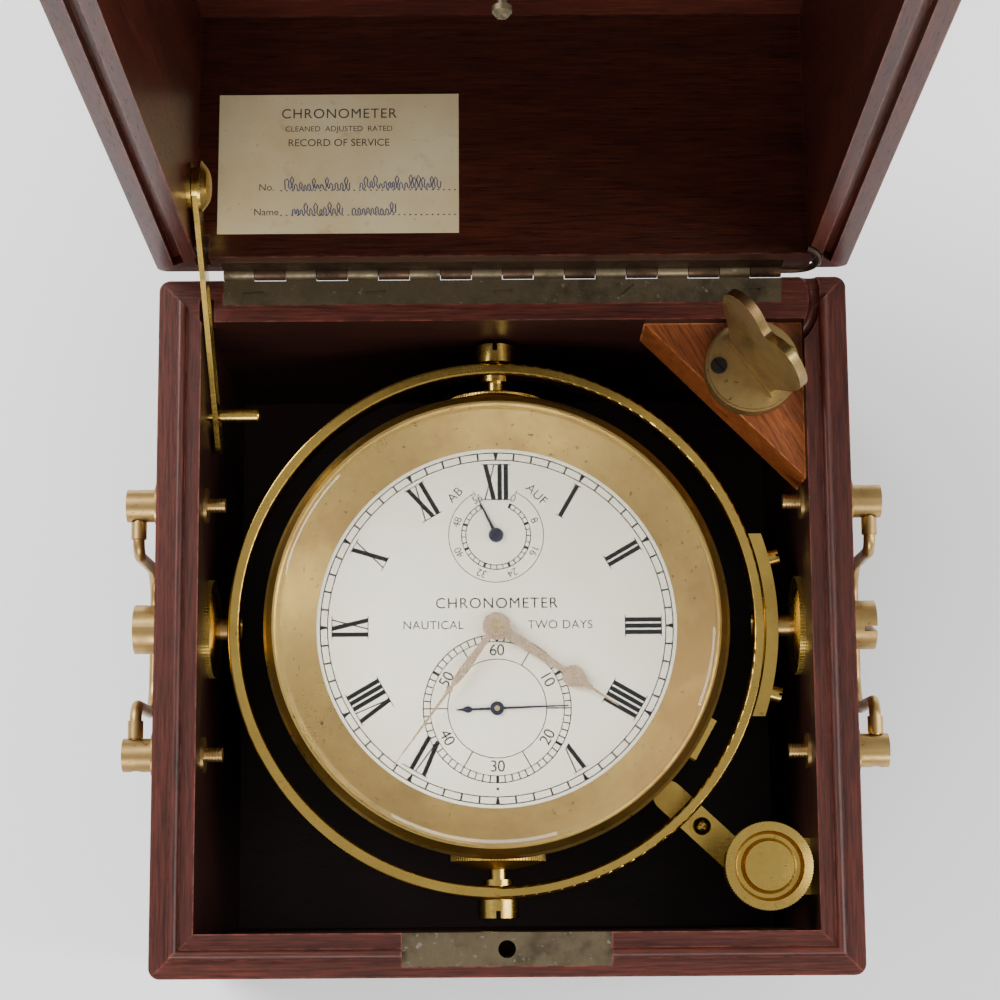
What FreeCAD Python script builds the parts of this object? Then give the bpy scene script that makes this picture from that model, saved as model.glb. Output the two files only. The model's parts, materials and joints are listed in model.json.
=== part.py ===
import FreeCAD, Part
import math
import os
import re
import Sketcher
from FreeCAD import Placement, Rotation, Vector

# Driving dimensions in millimetres, degrees and tooth counts.
# Case frame: origin at the middle of the underside, +Z up, front towards -Y.
SIZES = {
    # case
    "case_half": 93, "case_height": 120, "wall": 11.5, "base_thick": 10, "corner_turn": 3,
    "mitre_end": 92.1213, "round_centre": 90, "bead_in": 5, "bead_wide": 2.4, "bead_side": 0.8,
    "bead_turn": 1.2, "groove_in": 4.7, "groove_wide": 3, "groove_deep": 2.6,
    "lid_wall": 69, "lid_top": 9, "lid_open_angle": 93.7, "hinge_y": 95,
    # hinge
    "knuckle": 8.4, "knuckle_count": 18, "knuckle_gap": 0.2, "knuckle_radius": 2, "pin_radius": 0.9,
    "leaf_thick": 1.1, "leaf_gap": 0.05, "leaf_front": 86.2, "leaf_back": 92.8, "leaf_depth": 6.6,
    "tail_groove": 1.6, "tail_out": 79,
    # lock plate, lock and catch
    "lock_long": 54.5, "lock_wide": 8.6, "lock_front": 90.1, "lock_thick": 1.2, "lock_y": 85.8,
    "lock_hole": 2.3, "lock_case_long": 34, "lock_case_wide": 6.4, "lock_case_deep": 26,
    "lock_wall": 1, "bolt_long": 12, "bolt_wide": 3, "bolt_high": 2.6,
    "catch_radius": 2, "catch_long": 8,
    # gimbal
    "gimbal_x": -2.2, "gimbal_y": 1, "gimbal_z": 93, "ring_outer": 74.1, "ring_inner": 70.6,
    "ring_high": 8, "ring_edge": 0.8, "fit": 0.05, "trunnion": 3, "trunnion_tip": 70.9, "boss_radius": 6.75,
    "boss_long": 9, "flange_radius": 13.5, "flange_edge": 1.5, "flange_dome": 1.8, "pivot_radius": 2.5,
    "block_screw": 2.45, "block_screw_angle": 13.9, "block_screw_out": 3,
    "pivot_head": 5.75, "pivot_head_long": 5, "block_thick": 3.3, "block_high": 7,
    # bowl, in a frame at the crossing of the gimbal axes
    "bowl_radius": 61, "bowl_top": 9, "bowl_wall": 2, "ledge": 50.2, "ledge_low": -1.6,
    "bezel_radius": 63.5, "bezel_lip": 1.2, "bezel_top": 15, "glass_radius": 60.4, "glass_low": 11.8,
    "glass_thick": 2.9, "glass_bevel": 1.9, "dial_radius": 51, "dial_thick": 1, "dial_low": 0,
    "disc_radius": 12.9, "disc_start": 62, "disc_edge": 1.8, "disc_dome": 2.4,
    "lug_angle": -29.5, "lug_wide": 12, "lug_out": 65, "plate_radius": 46, "plate_thick": 3, "plate_low": -6,
    "back_low": -35, "pillar_radius": 3,
    # train
    "seconds_y": -22.5, "reserve_y": 25.5, "third_x": 13.84, "third_y": -15,
    "escape_x": -12.5, "escape_y": -27.6, "fusee_x": -15.05, "fusee_y": 18.07,
    "barrel_x": 23, "barrel_y": 17, "barrel_radius": 17, "balance_x": -18, "balance_y": -20,
    "minute_x": 6, "minute_y": 0, "poise_reach": 70,
    "centre_arbor": 1.2, "hour_pipe": 2, "seconds_arbor": 0.75, "reserve_arbor": 0.7,
    "great_module": 0.42, "centre_module": 0.4, "third_module": 0.35, "fourth_module": 0.3,
    "motion_module": 0.25, "hour_module": 0.24,
    "great_teeth": 98, "centre_leaves": 14, "centre_teeth": 90, "third_leaves": 12,
    "third_teeth": 80, "fourth_leaves": 10, "fourth_teeth": 80, "escape_leaves": 10,
    "escape_teeth": 15, "cannon_leaves": 12, "minute_teeth": 36, "minute_leaves": 10,
    "hour_teeth": 40, "escape_radius": 7, "balance_radius": 14,
    # lid stay
    "stud_y": 64, "stud_z": 13.5, "stay_pin_y": 60, "stay_pin_z": 99,
    "stay_thick": 1.4, "stay_pin_radius": 1.5, "stay_x": -80.2, "stay_long": 80, "stay_half": 3.9,
    "stay_slot_half": 2.6, "stay_slot_start": 32, "stay_slot_end": 75, "stay_notch_radius": 6.2,
    # key and its block
    "block_leg": 43, "block_top": 115, "block_deep": 20, "key_x": 67.3, "key_y": 68.3,
    "key_head": 12.7, "key_tube": 3.6, "key_turn_angle": -52,
    # gimbal lock
    "lock_post_x": 68.6, "lock_post_y": -64.9, "post_radius": 2.5, "arm_low": 58, "arm_thick": 4,
    "arm_long": 34.5, "arm_half": 4.35, "arm_angle": 137, "knob_radius": 11.5, "bracket_z": 98,
    # carrying handles
    "handle_mid": -0.4, "handle_half": 33.9, "handle_z": 106, "handle_out": 9, "post_turn": 4.5,
    "handle_axis": 6.48, "thread_long": 4.5,
    "bail_radius": 1.6, "bail_drop": 34,
    # paper label inside the lid
    "label_left": -76, "label_long": 64.5, "label_low": 6.5, "label_high": 39.5, "label_thick": 0.2,
}

HINGE_SCREWS = (-67.6, -34.3, 0, 33.5, 67.2)
BRACKET_SCREWS = ("-62", "-69")

ALONG = {
    "Z": None,
    "-Z": ((1, 0, 0), 180),
    "X": ((0, 1, 0), 90),
    "-X": ((0, 1, 0), -90),
    "Y": ((1, 0, 0), -90),
    "-Y": ((1, 0, 0), 90),
}

doc = FreeCAD.newDocument("marine_chronometer")
sheet = doc.addObject("Spreadsheet::Sheet", "sizes")
pieces = {}


def fill_sheet():
    for row, (name, value) in enumerate(SIZES.items(), start=1):
        sheet.set(f"A{row}", name)
        sheet.set(f"B{row}", str(value))
        sheet.setAlias(f"B{row}", name)
    doc.recompute()


def size(word):
    """Value of one number or one name in the sheet."""
    word = word.strip()
    return float(getattr(sheet, word)) if re.match("[a-z]", word) else float(word)


def measure(text):
    """Value of a sum of products such as "wall - 2 * fit"."""
    total = 0.0
    for sign, term in re.findall(r"([+-]?)\s*([^+-]+)", text):
        product = 1.0
        for factor in term.split("*"):
            top, *below = factor.split("/")
            product *= size(top)
            for divisor in below:
                product /= size(divisor)
        total += -product if sign == "-" else product
    return total


def bind(obj, name, text):
    obj.setExpression(name, re.sub(r"[a-z_][a-z0-9_]*", lambda word: "sizes." + word.group(0), text))


def place(obj, at, turn=None):
    rotation = Rotation(Vector(*turn[0]), turn[1]) if turn else Rotation()
    obj.Placement = Placement(Vector(*(measure(text) for text in at)), rotation)
    for letter, text in zip("xyz", at):
        if re.search("[a-z]", text):
            bind(obj, f"Placement.Base.{letter}", text)
    return obj


def box(name, sides, corner, turn=None):
    block = doc.addObject("Part::Box", name)
    for side, text in zip(("Length", "Width", "Height"), sides):
        bind(block, side, text)
    return place(block, corner, turn)


def rod(name, radius, length, at, along="Z"):
    turned_rod = doc.addObject("Part::Cylinder", name)
    bind(turned_rod, "Radius", radius)
    bind(turned_rod, "Height", length)
    return place(turned_rod, at, ALONG[along])


def cone(name, low, high, length, at, along="Z"):
    taper = doc.addObject("Part::Cone", name)
    bind(taper, "Radius1", low)
    bind(taper, "Radius2", high)
    bind(taper, "Height", length)
    return place(taper, at, ALONG[along])


def draw(body, plane, outline):
    """Closed outline on a plane of the body; a corner with a radius starts an arc, 1 left or -1 right."""
    sketch = body.newObject("Sketcher::SketchObject", body.Name + "_outline")
    origin = next(item for item in body.Origin.OriginFeatures if item.Role == plane)
    sketch.AttachmentSupport = [(origin, "")]
    sketch.MapMode = "FlatFace"
    corners = [Vector(measure(corner[0]), measure(corner[1]), 0) for corner in outline]
    count = len(corners)
    starts = []
    for index, corner in enumerate(outline):
        start, end = corners[index], corners[(index + 1) % count]
        if len(corner) == 2:
            sketch.addGeometry(Part.LineSegment(start, end), False)
            starts.append((1, 2))
            continue
        radius, side = measure(corner[2]), corner[3]
        chord = end - start
        across = Vector(-chord.y, chord.x, 0) * (side / chord.Length)
        centre = (start + end) / 2 + across * math.sqrt(max(radius**2 - chord.Length**2 / 4, 0))
        middle = centre - across * radius
        ends = (start, middle, end) if side > 0 else (end, middle, start)
        sketch.addGeometry(Part.Arc(*ends), False)
        starts.append((1, 2) if side > 0 else (2, 1))
    rules = []
    texts = []
    for index, corner in enumerate(outline):
        begin, finish = starts[index]
        following = (index + 1) % count
        rules.append(Sketcher.Constraint("Coincident", index, finish, following, starts[following][0]))
        texts.append(None)
        for kind, text, axis in (("DistanceX", corner[0], -2), ("DistanceY", corner[1], -1)):
            if text == "0":
                rules.append(Sketcher.Constraint("PointOnObject", index, begin, axis))
                texts.append(None)
            else:
                rules.append(Sketcher.Constraint(kind, -1, 1, index, begin, measure(text)))
                texts.append(text)
        if len(corner) > 2 and (corners[following] - corners[index]).Length < 1.999 * measure(corner[2]):
            rules.append(Sketcher.Constraint("Radius", index, measure(corner[2])))
            texts.append(corner[2])
    sketch.addConstraint(rules)
    for number, text in enumerate(texts):
        if text and re.search("[a-z]", text):
            bind(sketch, f"Constraints[{number}]", text)
    return sketch


def turned(name, outline, at=("0", "0", "0"), along="Z"):
    """Solid of revolution; the outline gives radius and height."""
    body = doc.addObject("PartDesign::Body", name)
    sketch = draw(body, "XZ_Plane", outline)
    spin = body.newObject("PartDesign::Revolution", name + "_turn")
    spin.Profile = sketch
    spin.ReferenceAxis = (sketch, ["V_Axis"])
    spin.Angle = 360
    sketch.Visibility = False
    return place(body, at, ALONG[along])


def plate(name, outline, thick, at=("0", "0", "0"), turn=None, plane="XY_Plane", middle=False):
    """Flat piece cut to an outline."""
    body = doc.addObject("PartDesign::Body", name)
    sketch = draw(body, plane, outline)
    pad = body.newObject("PartDesign::Pad", name + "_pad")
    pad.Profile = sketch
    bind(pad, "Length", thick)
    pad.SideType = "Symmetric" if middle else "One side"
    sketch.Visibility = False
    return place(body, at, turn)


def fuse(name, parts):
    joined = doc.addObject("Part::MultiFuse", name)
    joined.Shapes = parts
    return joined


def cut(name, base, tools):
    result = doc.addObject("Part::Cut", name)
    result.Base = base
    result.Tool = tools[0] if len(tools) == 1 else fuse(name + "_cuts", tools)
    return result


def common(name, base, tool):
    result = doc.addObject("Part::Common", name)
    result.Base = base
    result.Tool = tool
    return result


def group(name, parts):
    """Separate solids kept in one sub-part."""
    together = doc.addObject("Part::Compound", name)
    together.Links = parts
    return together


def formed(name, shape):
    """Shape made with Part's own functions; any turn that it has is kept inside it."""
    feature = doc.addObject("Part::Feature", name)
    feature.Shape = shape if shape.Placement.isIdentity() else Part.makeCompound([shape])
    return feature


def screw_head(name, radius, high, at, along="Z", turn=0):
    """Low cheese head with a driver slot, its underside at a point; turn is the slot's direction."""
    radius, high = measure(radius), measure(high)
    head = Part.makeCylinder(radius, high)
    deep, wide = high * 0.4, radius * 0.22
    slot = Part.makeBox(radius * 2.2, wide, deep)
    slot.translate(Vector(-radius * 1.1, -wide / 2, high - deep))
    slot.rotate(Vector(), Vector(0, 0, 1), turn)
    solid = head.cut(slot)
    return place(formed(name, solid), at, ALONG[along])


def knurled(name, radius, edge, dome, at, along):
    """Low domed disc with a finely notched edge."""
    count = 90
    ball = (radius**2 + dome**2) / (2 * dome)
    cap = Part.makeSphere(ball, Vector(0, 0, edge + dome - ball))
    solid = Part.makeCylinder(radius, edge + dome).common(cap)
    notches = []
    for index in range(count):
        angle = 2 * math.pi * index / count
        middle = Vector(radius * math.cos(angle), radius * math.sin(angle), -1)
        notches.append(Part.makeCylinder(radius * 0.015, edge + dome + 2, middle))
    return place(formed(name, solid.cut(notches)), at, ALONG[along])


def keep(label, obj):
    """Names a finished sub-part."""
    obj.Label = label
    pieces[label] = obj


def shifted(label, obj):
    """Finished sub-part drawn about the crossing of the gimbal axes."""
    holder = group(label + "_in_gimbal", [obj])
    place(holder, ("gimbal_x", "gimbal_y", "gimbal_z"))
    holder.Label = label
    pieces[label] = holder


def lid_frame():
    """Where the lid's own frame stands when the lid is open: it is drawn closed, its rim at height 0."""
    turn = Rotation(Vector(1, 0, 0), -measure("lid_open_angle"))
    hinge = Vector(0, measure("hinge_y"), 0)
    opened = Placement(hinge + Vector(0, 0, measure("case_height")), turn)
    return opened.multiply(Placement(-hinge, Rotation()))


def in_lid(label, obj):
    holder = group(label + "_in_lid", [obj])
    holder.Placement = lid_frame()
    holder.Label = label
    pieces[label] = holder


def quarter(name, height, low):
    """Front quarter of the case's rounded square, which cuts a board's mitres and outer corners."""
    outline = [
        ("0", "0"),
        ("-mitre_end", "-mitre_end", "corner_turn", 1),
        ("-round_centre", "-case_half"),
        ("round_centre", "-case_half", "corner_turn", 1),
        ("mitre_end", "-mitre_end"),
    ]
    return plate(name, outline, height, ("0", "0", low))


def rounded_square(name, height, low):
    """Whole rounded square of the case's outline."""
    outline = []
    for turn in range(4):
        across, along = (("-round_centre", "-case_half"), ("round_centre", "-case_half"))
        for x, y in (across, along):
            for _ in range(turn):
                x, y = (y[1:] if y[0] == "-" else "-" + y), x
            outline.append((x, y))
    outline = [
        point + ("corner_turn", 1) if index % 2 else point for index, point in enumerate(outline)
    ]
    return plate(name, outline, height, ("0", "0", low))


def board(name, profile, block, yaw):
    """Mitred board: a section run along the case's width, cut to one quarter and turned to its side."""
    run = plate(name + "_run", profile, "2 * case_half", plane="YZ_Plane", middle=True)
    blank = common(name + "_blank", run, block)
    blank.Placement = Placement(Vector(), Rotation(Vector(0, 0, 1), yaw))
    return blank


def tail_path(z):
    """Line of the hinge pin's bent tail, from the last knuckle into the corner of the rim."""
    start = Vector(75.6, size("hinge_y"), z)
    out = Vector(size("tail_out"), size("hinge_y"), z)
    middle = Vector(83.2, 92.9, z)
    bend = Vector(84.3, 88.6, z)
    last = Vector(83.8, 82.2, z)
    end = Vector(80.4, 76.8, z)
    return Part.Wire(
        [
            Part.LineSegment(start, out).toShape(),
            Part.Arc(out, middle, bend).toShape(),
            Part.Arc(bend, last, end).toShape(),
        ]
    )


def swept(path, radius):
    """Round wire along a path that starts along X."""
    start = path.OrderedVertexes[0].Point
    section = Part.Wire(Part.Circle(start, Vector(1, 0, 0), radius).toShape())
    return path.makePipeShell([section], True, True)


# --- Wooden case -----------------------------------------------------------------------------


def make_case():
    rim_front = [
        ("-case_half", "base_thick"),
        ("wall - case_half", "base_thick"),
        ("wall - case_half", "case_height"),
        ("bead_in + bead_wide - case_half", "case_height"),
        ("bead_in + bead_wide - case_half", "case_height + bead_side", "bead_turn", 1),
        ("bead_in - case_half", "case_height + bead_side"),
        ("bead_in - case_half", "case_height"),
        ("-case_half", "case_height"),
    ]
    rim_back = [
        ("-case_half", "base_thick"),
        ("wall - case_half", "base_thick"),
        ("wall - case_half", "case_height"),
        ("-case_half", "case_height"),
    ]
    block = quarter("case_quarter", "case_height + 5", "0")
    front = board("box_front", rim_front, block, 0)
    right = board("box_right", rim_front, block, 90)
    back = board("box_back", rim_back, block, 180)
    left = board("box_left", rim_front, block, -90)
    lock_cuts = [
        box("lock_recess", ("lock_long", "lock_wide", "lock_thick + 5"),
            ("-lock_long / 2", "-lock_front", "case_height - lock_thick")),
        box("lock_mortise", ("lock_case_long", "lock_case_wide", "lock_case_deep + 1"),
            ("-lock_case_long / 2", "-lock_y - lock_case_wide / 2",
             "case_height - lock_thick - lock_case_deep")),
        box("key_slot", ("3", "8", "11"), ("-1.5", "-case_half - 1", "89")),
        rod("key_hole", "2.6", "8", ("0", "-case_half - 1", "100"), "Y"),
        rod("escutcheon_recess", "5.5", "1", ("0", "-case_half", "100"), "Y"),
    ]
    keep("box_front", cut("box_front_cut", front, lock_cuts))
    trunnion_holes = [
        rod("hole_left", "trunnion", "wall + 2", ("-case_half - 1", "gimbal_y", "gimbal_z"), "X"),
        rod("hole_right", "trunnion", "wall + 2", ("case_half - wall - 1", "gimbal_y", "gimbal_z"), "X"),
    ]
    bolt_holes = {}
    for side, start in (("left", "-case_half - 1"), ("right", "case_half - wall - 1")):
        bolt_holes[side] = [
            rod(f"bolt_hole_{side}_{end}", "2", "wall + 2",
                (start, f"handle_mid {sign} handle_half", "handle_z"), "X")
            for end, sign in (("back", "+"), ("front", "-"))
        ]
    stay_hole = rod("stay_hole", "stay_pin_radius", "8",
                    ("-case_half + 3.5", "stay_pin_y", "stay_pin_z"), "X")
    keep("box_left", cut("box_left_cut", left, [trunnion_holes[0], stay_hole] + bolt_holes["left"]))
    groove = formed("tail_groove_box", swept(tail_path(size("case_height")), size("tail_groove")))
    bracket_holes = [
        rod(f"bracket_hole_{index}", "1.6", "wall + 2", ("case_half - wall - 1", y, "bracket_z"), "X")
        for index, y in enumerate(BRACKET_SCREWS)
    ]
    keep("box_right", cut("box_right_cut", right,
                          [trunnion_holes[1], groove] + bolt_holes["right"] + bracket_holes))
    leaf_recess = box("leaf_recess", ("knuckle_count * knuckle", "9", "leaf_thick + leaf_gap + 1"),
                      ("-knuckle_count * knuckle / 2", "leaf_front", "case_height - leaf_thick - leaf_gap"))
    stay_notch = rod("stay_notch", "stay_notch_radius", "4",
                     ("wall - case_half - 0.6", "case_half - wall", "case_height"), "X")
    groove_back = formed("tail_groove_back", swept(tail_path(size("case_height")), size("tail_groove")))
    screw_holes = [
        rod(f"leaf_hole_{index}", "1.4", "9", (f"{x}", "89.6", "case_height - 9.5"))
        for index, x in enumerate(HINGE_SCREWS)
    ]
    keep("box_back", cut("box_back_cut", back, [leaf_recess, stay_notch, groove_back] + screw_holes))
    keep("box_bottom", rounded_square("box_bottom_board", "base_thick", "0"))


def make_lid():
    rim_front = [
        ("-case_half", "0"),
        ("groove_in - case_half", "0"),
        ("groove_in - case_half", "groove_deep"),
        ("groove_in + groove_wide - case_half", "groove_deep"),
        ("groove_in + groove_wide - case_half", "0"),
        ("wall - case_half", "0"),
        ("wall - case_half", "lid_wall"),
        ("-case_half", "lid_wall"),
    ]
    rim_back = [
        ("-case_half", "0"),
        ("wall - case_half", "0"),
        ("wall - case_half", "lid_wall"),
        ("-case_half", "lid_wall"),
    ]
    block = quarter("lid_quarter", "lid_wall", "0")
    front = board("lid_front_board", rim_front, block, 0)
    right = board("lid_right_board", rim_front, block, 90)
    back = board("lid_back_board", rim_back, block, 180)
    left = board("lid_left_board", rim_front, block, -90)
    plate_recess = box("catch_recess", ("lock_long", "lock_wide", "lock_thick + 5"),
                       ("-lock_long / 2", "-lock_front", "-5"))
    in_lid("lid_front", cut("lid_front_cut", front, [plate_recess]))
    stud_hole = rod("stud_hole", "2", "6", ("wall - case_half - 5.5", "stud_y", "stud_z"), "X")
    in_lid("lid_left", cut("lid_left_cut", left, [stud_hole]))
    groove = formed("tail_groove_lid", swept(tail_path(0), size("tail_groove")))
    in_lid("lid_right", cut("lid_right_cut", right, [groove]))
    leaf_recess = box("lid_leaf_recess", ("knuckle_count * knuckle", "9", "leaf_thick + leaf_gap + 1"),
                      ("-knuckle_count * knuckle / 2", "leaf_front", "-1"))
    stay_notch = rod("lid_stay_notch", "stay_notch_radius", "4",
                     ("wall - case_half - 0.6", "case_half - wall", "0"), "X")
    groove_back = formed("tail_groove_lid_back", swept(tail_path(0), size("tail_groove")))
    in_lid("lid_back", cut("lid_back_cut", back, [leaf_recess, stay_notch, groove_back]))
    in_lid("lid_top", rounded_square("lid_top_board", "lid_top", "lid_wall"))
    in_lid("service_label", box("label_sheet", ("label_long", "label_thick", "label_high"),
                                ("label_left", "case_half - wall - label_thick", "label_low")))
    catch = fuse("catch_plate", [
        box("catch_strip", ("lock_long", "lock_wide", "lock_thick"),
            ("-lock_long / 2", "-lock_front", "0")),
        rod("catch_root", "catch_radius", "2.6", ("0", "-lock_y", "0"), "-Z"),
        rod("catch_neck", "catch_radius / 2", "catch_long - 1", ("0", "-lock_y", "0"), "-Z"),
        rod("catch_head", "catch_radius", "1.2", ("0", "-lock_y", "1 - catch_long"), "Z"),
        cone("catch_tip", "catch_radius", "catch_radius - 0.8", "1",
             ("0", "-lock_y", "1 - catch_long"), "-Z"),
    ])
    in_lid("lid_catch", catch)


def make_hinge():
    for label, first, side in (("hinge_leaf_box", 0, -1), ("hinge_leaf_lid", 1, 1)):
        base = "case_height" if side < 0 else "0"
        low = f"{base} - leaf_thick - leaf_gap" if side < 0 else "leaf_gap"
        parts = [box(f"{label}_flat", ("knuckle_count * knuckle", "leaf_depth", "leaf_thick"),
                     ("-knuckle_count * knuckle / 2", "leaf_front", low))]
        for index in range(first, int(size("knuckle_count")), 2):
            start = f"{index} * knuckle - knuckle_count * knuckle / 2 + knuckle_gap / 2"
            long = "knuckle - knuckle_gap"
            parts.append(box(f"{label}_web_{index}", (long, "hinge_y - leaf_back", "leaf_thick"),
                             (start, "leaf_back", low)))
            parts.append(rod(f"{label}_knuckle_{index}", "knuckle_radius", long,
                             (start, "hinge_y", base), "X"))
        bore = "pin_radius + fit" if side < 0 else "pin_radius"
        holes = [rod(f"{label}_bore", bore, "knuckle_count * knuckle + 2",
                     ("-knuckle_count * knuckle / 2 - 1", "hinge_y", base), "X")]
        if side < 0:
            holes += [rod(f"{label}_screw_{index}", "2.7", "3", (f"{x}", "89.6", low + " - 1"))
                      for index, x in enumerate(HINGE_SCREWS)]
            keep(label, cut(label + "_cut", fuse(label + "_solid", parts), holes))
        else:
            in_lid(label, cut(label + "_cut", fuse(label + "_solid", parts), holes))
    start = Vector(-75.6, size("hinge_y"), 0)
    straight = Part.makeCylinder(size("pin_radius"), 151.2, start, Vector(1, 0, 0))
    tail = swept(tail_path(0), size("pin_radius"))
    in_lid("hinge_pin", formed("hinge_pin_wire", straight.fuse(tail).removeSplitter()))
    screws = []
    for index, x in enumerate(HINGE_SCREWS):
        top = screw_head(f"hinge_screw_{index}", "2.7", "leaf_thick", (f"{x}", "89.6",
                         "case_height - leaf_thick - leaf_gap"), "Z", 40 if index == 3 else 4)
        shank = rod(f"hinge_shank_{index}", "1.4", "8", (f"{x}", "89.6",
                    "case_height - leaf_thick - leaf_gap - 8"))
        screws.append(fuse(f"hinge_screw_whole_{index}", [top, shank]))
    for index, y in enumerate(BRACKET_SCREWS):
        head = screw_head(f"bracket_screw_{index}", "3", "1.6", ("case_half", y, "bracket_z"), "X", 20)
        shank = rod(f"bracket_shank_{index}", "1.6", "wall", ("case_half", y, "bracket_z"), "-X")
        screws.append(fuse(f"bracket_screw_whole_{index}", [head, shank]))
    keep("case_screws", group("case_screws_group", screws))


def make_lock():
    low = "case_height - lock_thick"
    inner_long = "lock_case_long - 2 * lock_wall"
    inner_wide = "lock_case_wide - 2 * lock_wall"
    shell = fuse("lock_shell", [
        box("lock_strip", ("lock_long", "lock_wide", "lock_thick"), ("-lock_long / 2", "-lock_front", low)),
        box("lock_case", ("lock_case_long", "lock_case_wide", "lock_case_deep"),
            ("-lock_case_long / 2", "-lock_y - lock_case_wide / 2", low + " - lock_case_deep")),
    ])
    hollow = box("lock_hollow", (inner_long, inner_wide, "lock_case_deep - 2 * lock_wall"),
                 ("lock_wall - lock_case_long / 2", "lock_wall - lock_y - lock_case_wide / 2",
                  low + " - lock_case_deep + lock_wall"))
    catch_hole = rod("catch_hole", "lock_hole", "lock_thick + lock_wall + 2",
                     ("0", "-lock_y", low + " - lock_wall - 1"))
    key_way = rod("lock_key_way", "2.6", "lock_wall + 1",
                  ("0", "-lock_y - lock_case_wide / 2 - 0.5", "100"), "Y")
    keep("lock_case", cut("lock_case_cut", shell, [hollow, catch_hole, key_way]))
    keep("lock_bolt", box("bolt", ("bolt_long", "bolt_wide", "bolt_high"),
                          ("-lock_case_long / 2 + lock_wall + 0.3", "-lock_y - bolt_wide / 2",
                           "case_height - lock_thick - lock_wall - 0.8 - bolt_high")))
    disc = rod("escutcheon_disc", "5.5", "0.9", ("0", "-case_half", "100"), "Y")
    holes = [
        rod("escutcheon_hole", "2.1", "4", ("0", "-case_half - 1", "100"), "Y"),
        box("escutcheon_slot", ("2.4", "4", "7"), ("-1.2", "-case_half - 1", "95.5")),
    ]
    keep("escutcheon", cut("escutcheon_cut", disc, holes))


def make_stay():
    stud = fuse("stud_parts", [
        rod("stud_stem", "2", "5.5", ("wall - case_half - 5.5", "stud_y", "stud_z"), "X"),
        rod("stud_base", "6.2", "1.1", ("wall - case_half", "stud_y", "stud_z"), "X"),
        rod("stud_neck", "2.4", "2.2", ("wall - case_half + 0.9", "stud_y", "stud_z"), "X"),
        turned("stud_cap", [("0", "0"), ("6.6", "0"), ("6.6", "0.7"), ("4.6", "2.2", "5", 1),
                            ("1.6", "2.9"), ("0", "2.9")],
               ("stay_x + stay_thick + 0.2", "stud_y", "stud_z"), "X"),
    ])
    in_lid("stay_stud", stud)
    opening = math.radians(measure("lid_open_angle"))
    back, up = measure("stud_y - hinge_y"), measure("stud_z")
    stud_y = measure("hinge_y") + back * math.cos(opening) + up * math.sin(opening)
    stud_z = measure("case_height") - back * math.sin(opening) + up * math.cos(opening)
    aim = math.degrees(math.atan2(measure("stay_pin_z") - stud_z, measure("stay_pin_y") - stud_y))
    turn = ((1, 0, 0), aim + measure("lid_open_angle"))
    at = ("stay_x", "stud_y", "stud_z")
    outline = [
        ("0", "-5"),
        ("26", "-stay_half"),
        ("stay_long", "-stay_half", "stay_half", 1),
        ("stay_long", "stay_half"),
        ("26", "stay_half"),
        ("0", "5", "5", 1),
    ]
    slot = [
        ("stay_slot_start", "-stay_slot_half"),
        ("stay_slot_end", "-stay_slot_half", "stay_slot_half", 1),
        ("stay_slot_end", "stay_slot_half"),
        ("stay_slot_start", "stay_slot_half", "stay_slot_half", 1),
    ]
    arm = plate("stay_blank", outline, "stay_thick", at, turn, "YZ_Plane")
    gap = plate("stay_slot", slot, "stay_thick + 2", ("stay_x - 1", "stud_y", "stud_z"), turn, "YZ_Plane")
    eye = rod("stay_eye", "2.4 + fit", "stay_thick + 2", ("stay_x - 1", "stud_y", "stud_z"), "X")
    in_lid("stay_arm", cut("stay_arm_cut", arm, [gap, eye]))
    pin = turned("stay_pin_turned", [
        ("0", "0"), ("stay_pin_radius", "0"), ("stay_pin_radius", "11"), ("2", "11"), ("2", "21.2", "0.8", 1),
        ("1.2", "22"), ("0", "22"),
    ], ("3.5 - case_half", "stay_pin_y", "stay_pin_z"), "X")
    keep("stay_pin", pin)


# --- Gimbal ----------------------------------------------------------------------------------


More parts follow.
